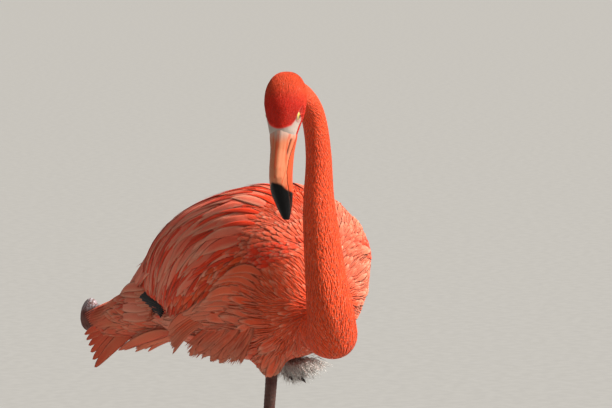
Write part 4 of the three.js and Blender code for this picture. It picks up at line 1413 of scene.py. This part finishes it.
def hard_parts():
    eye, bill, leg, claw = eye_look(), bill_look(), leg_look(), claw_look()
    for side, sign in SIDES.items():
        eyeball(side, sign, eye)
        claws = [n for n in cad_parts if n.startswith("claw") and n.endswith(side)]
        hard_piece(f"claws_{side}", claws, claw, "claw", voxel=0.4, rounds=3)
    upper, lower = (hard_piece(f"bill_{half}_horn", [f"bill_{half}"], bill, "bill", voxel=0.75, rounds=9,
                               grow_by=0.35) for half in ("upper", "lower"))
    horn(upper, lower, True)
    horn(lower, upper, False)
    ankle, below = np.array((-30, -6, 8)), (-30, -6, -100)
    for side, along, joint in (("right", lambda b: b[:, 2], (26, -9, 322)),
                               ("left", lambda b: b[:, 0], (-358, 5, 526))):
        nodes = [f"{bone}_{side}" for bone in ("shank", "hock", "tarsus")]
        leg_piece(f"leg_{side}", nodes, leg, 1.25, along, joint, chalky=float(side == "left"))
    leg_piece("toes_right", ["foot_right"], leg, 0.9, lambda b: np.linalg.norm(b - ankle, axis=1), below)
    leg_piece("toes_left", ["foot_left"], leg, 0.9, lambda b: b[:, 0], below)


for make in (head_feathers, neck_feathers, body_feathers, wing_feathers, covert_feathers, flank_feathers,
             flank_fringe, draped_plumes, tail_feathers, tail_cover, tail_coverts, rump_feathers,
             side_coverts, wing_tips, thigh_feathers, down, hard_parts):
    make()


# ---- floor, light and camera


def make_floor():
    bm = bmesh.new()
    bmesh.ops.create_grid(bm, x_segments=8, y_segments=8, size=60)
    floor = linked("floor", mesh_of(bm, "floor"))
    look = Look("floor", Roughness=0.9)
    grain = look.ramp(look.noise(40.0, 2.0), 0.3, 0.7)
    look.colour(look.mix(grain, linear(0.60, 0.60, 0.595), linear(0.62, 0.62, 0.615)))
    floor.data.materials.append(look.material)


def make_light():
    world = bpy.data.worlds.new("studio")
    world.use_nodes = True
    inputs = world.node_tree.nodes["Background"].inputs
    inputs["Color"].default_value = (1.0, 0.97, 0.93, 1)
    inputs["Strength"].default_value = 0.24
    bpy.context.scene.world = world
    sun = bpy.data.lights.new("key", "SUN")
    sun.energy, sun.color, sun.angle = 7.0, (1.0, 0.95, 0.88), math.radians(18)
    lamp = linked("key", sun)
    lamp.location = (2.0, -1.9, 3.0)
    lamp.rotation_euler = (Vector((0, 0, 0.6)) - lamp.location).to_track_quat("-Z", "Y").to_euler()
    lamp.visible_camera = False


CAMERA_AZIMUTH, CAMERA_HEIGHT = math.radians(36), math.radians(4.5)
CAMERA_AWAY, SENSOR, LENS = 5.0, 36, 253.5  # metres, and millimetres of film and lens
CAMERA_AIM = at(35.3, 48.5, 685)


def make_camera():
    data = bpy.data.cameras.new("camera")
    data.sensor_width, data.lens, data.clip_end = SENSOR, LENS, 200
    camera = linked("camera", data)
    level = across(math.cos(CAMERA_AZIMUTH), -math.sin(CAMERA_AZIMUTH), 0)
    back = level * math.cos(CAMERA_HEIGHT) + UP * math.sin(CAMERA_HEIGHT)
    camera.location = CAMERA_AIM + back * CAMERA_AWAY
    camera.rotation_euler = (-back).to_track_quat("-Z", "Y").to_euler()
    bpy.context.scene.camera = camera


make_floor()
make_light()
make_camera()
bpy.context.scene.view_settings.view_transform = "Standard"
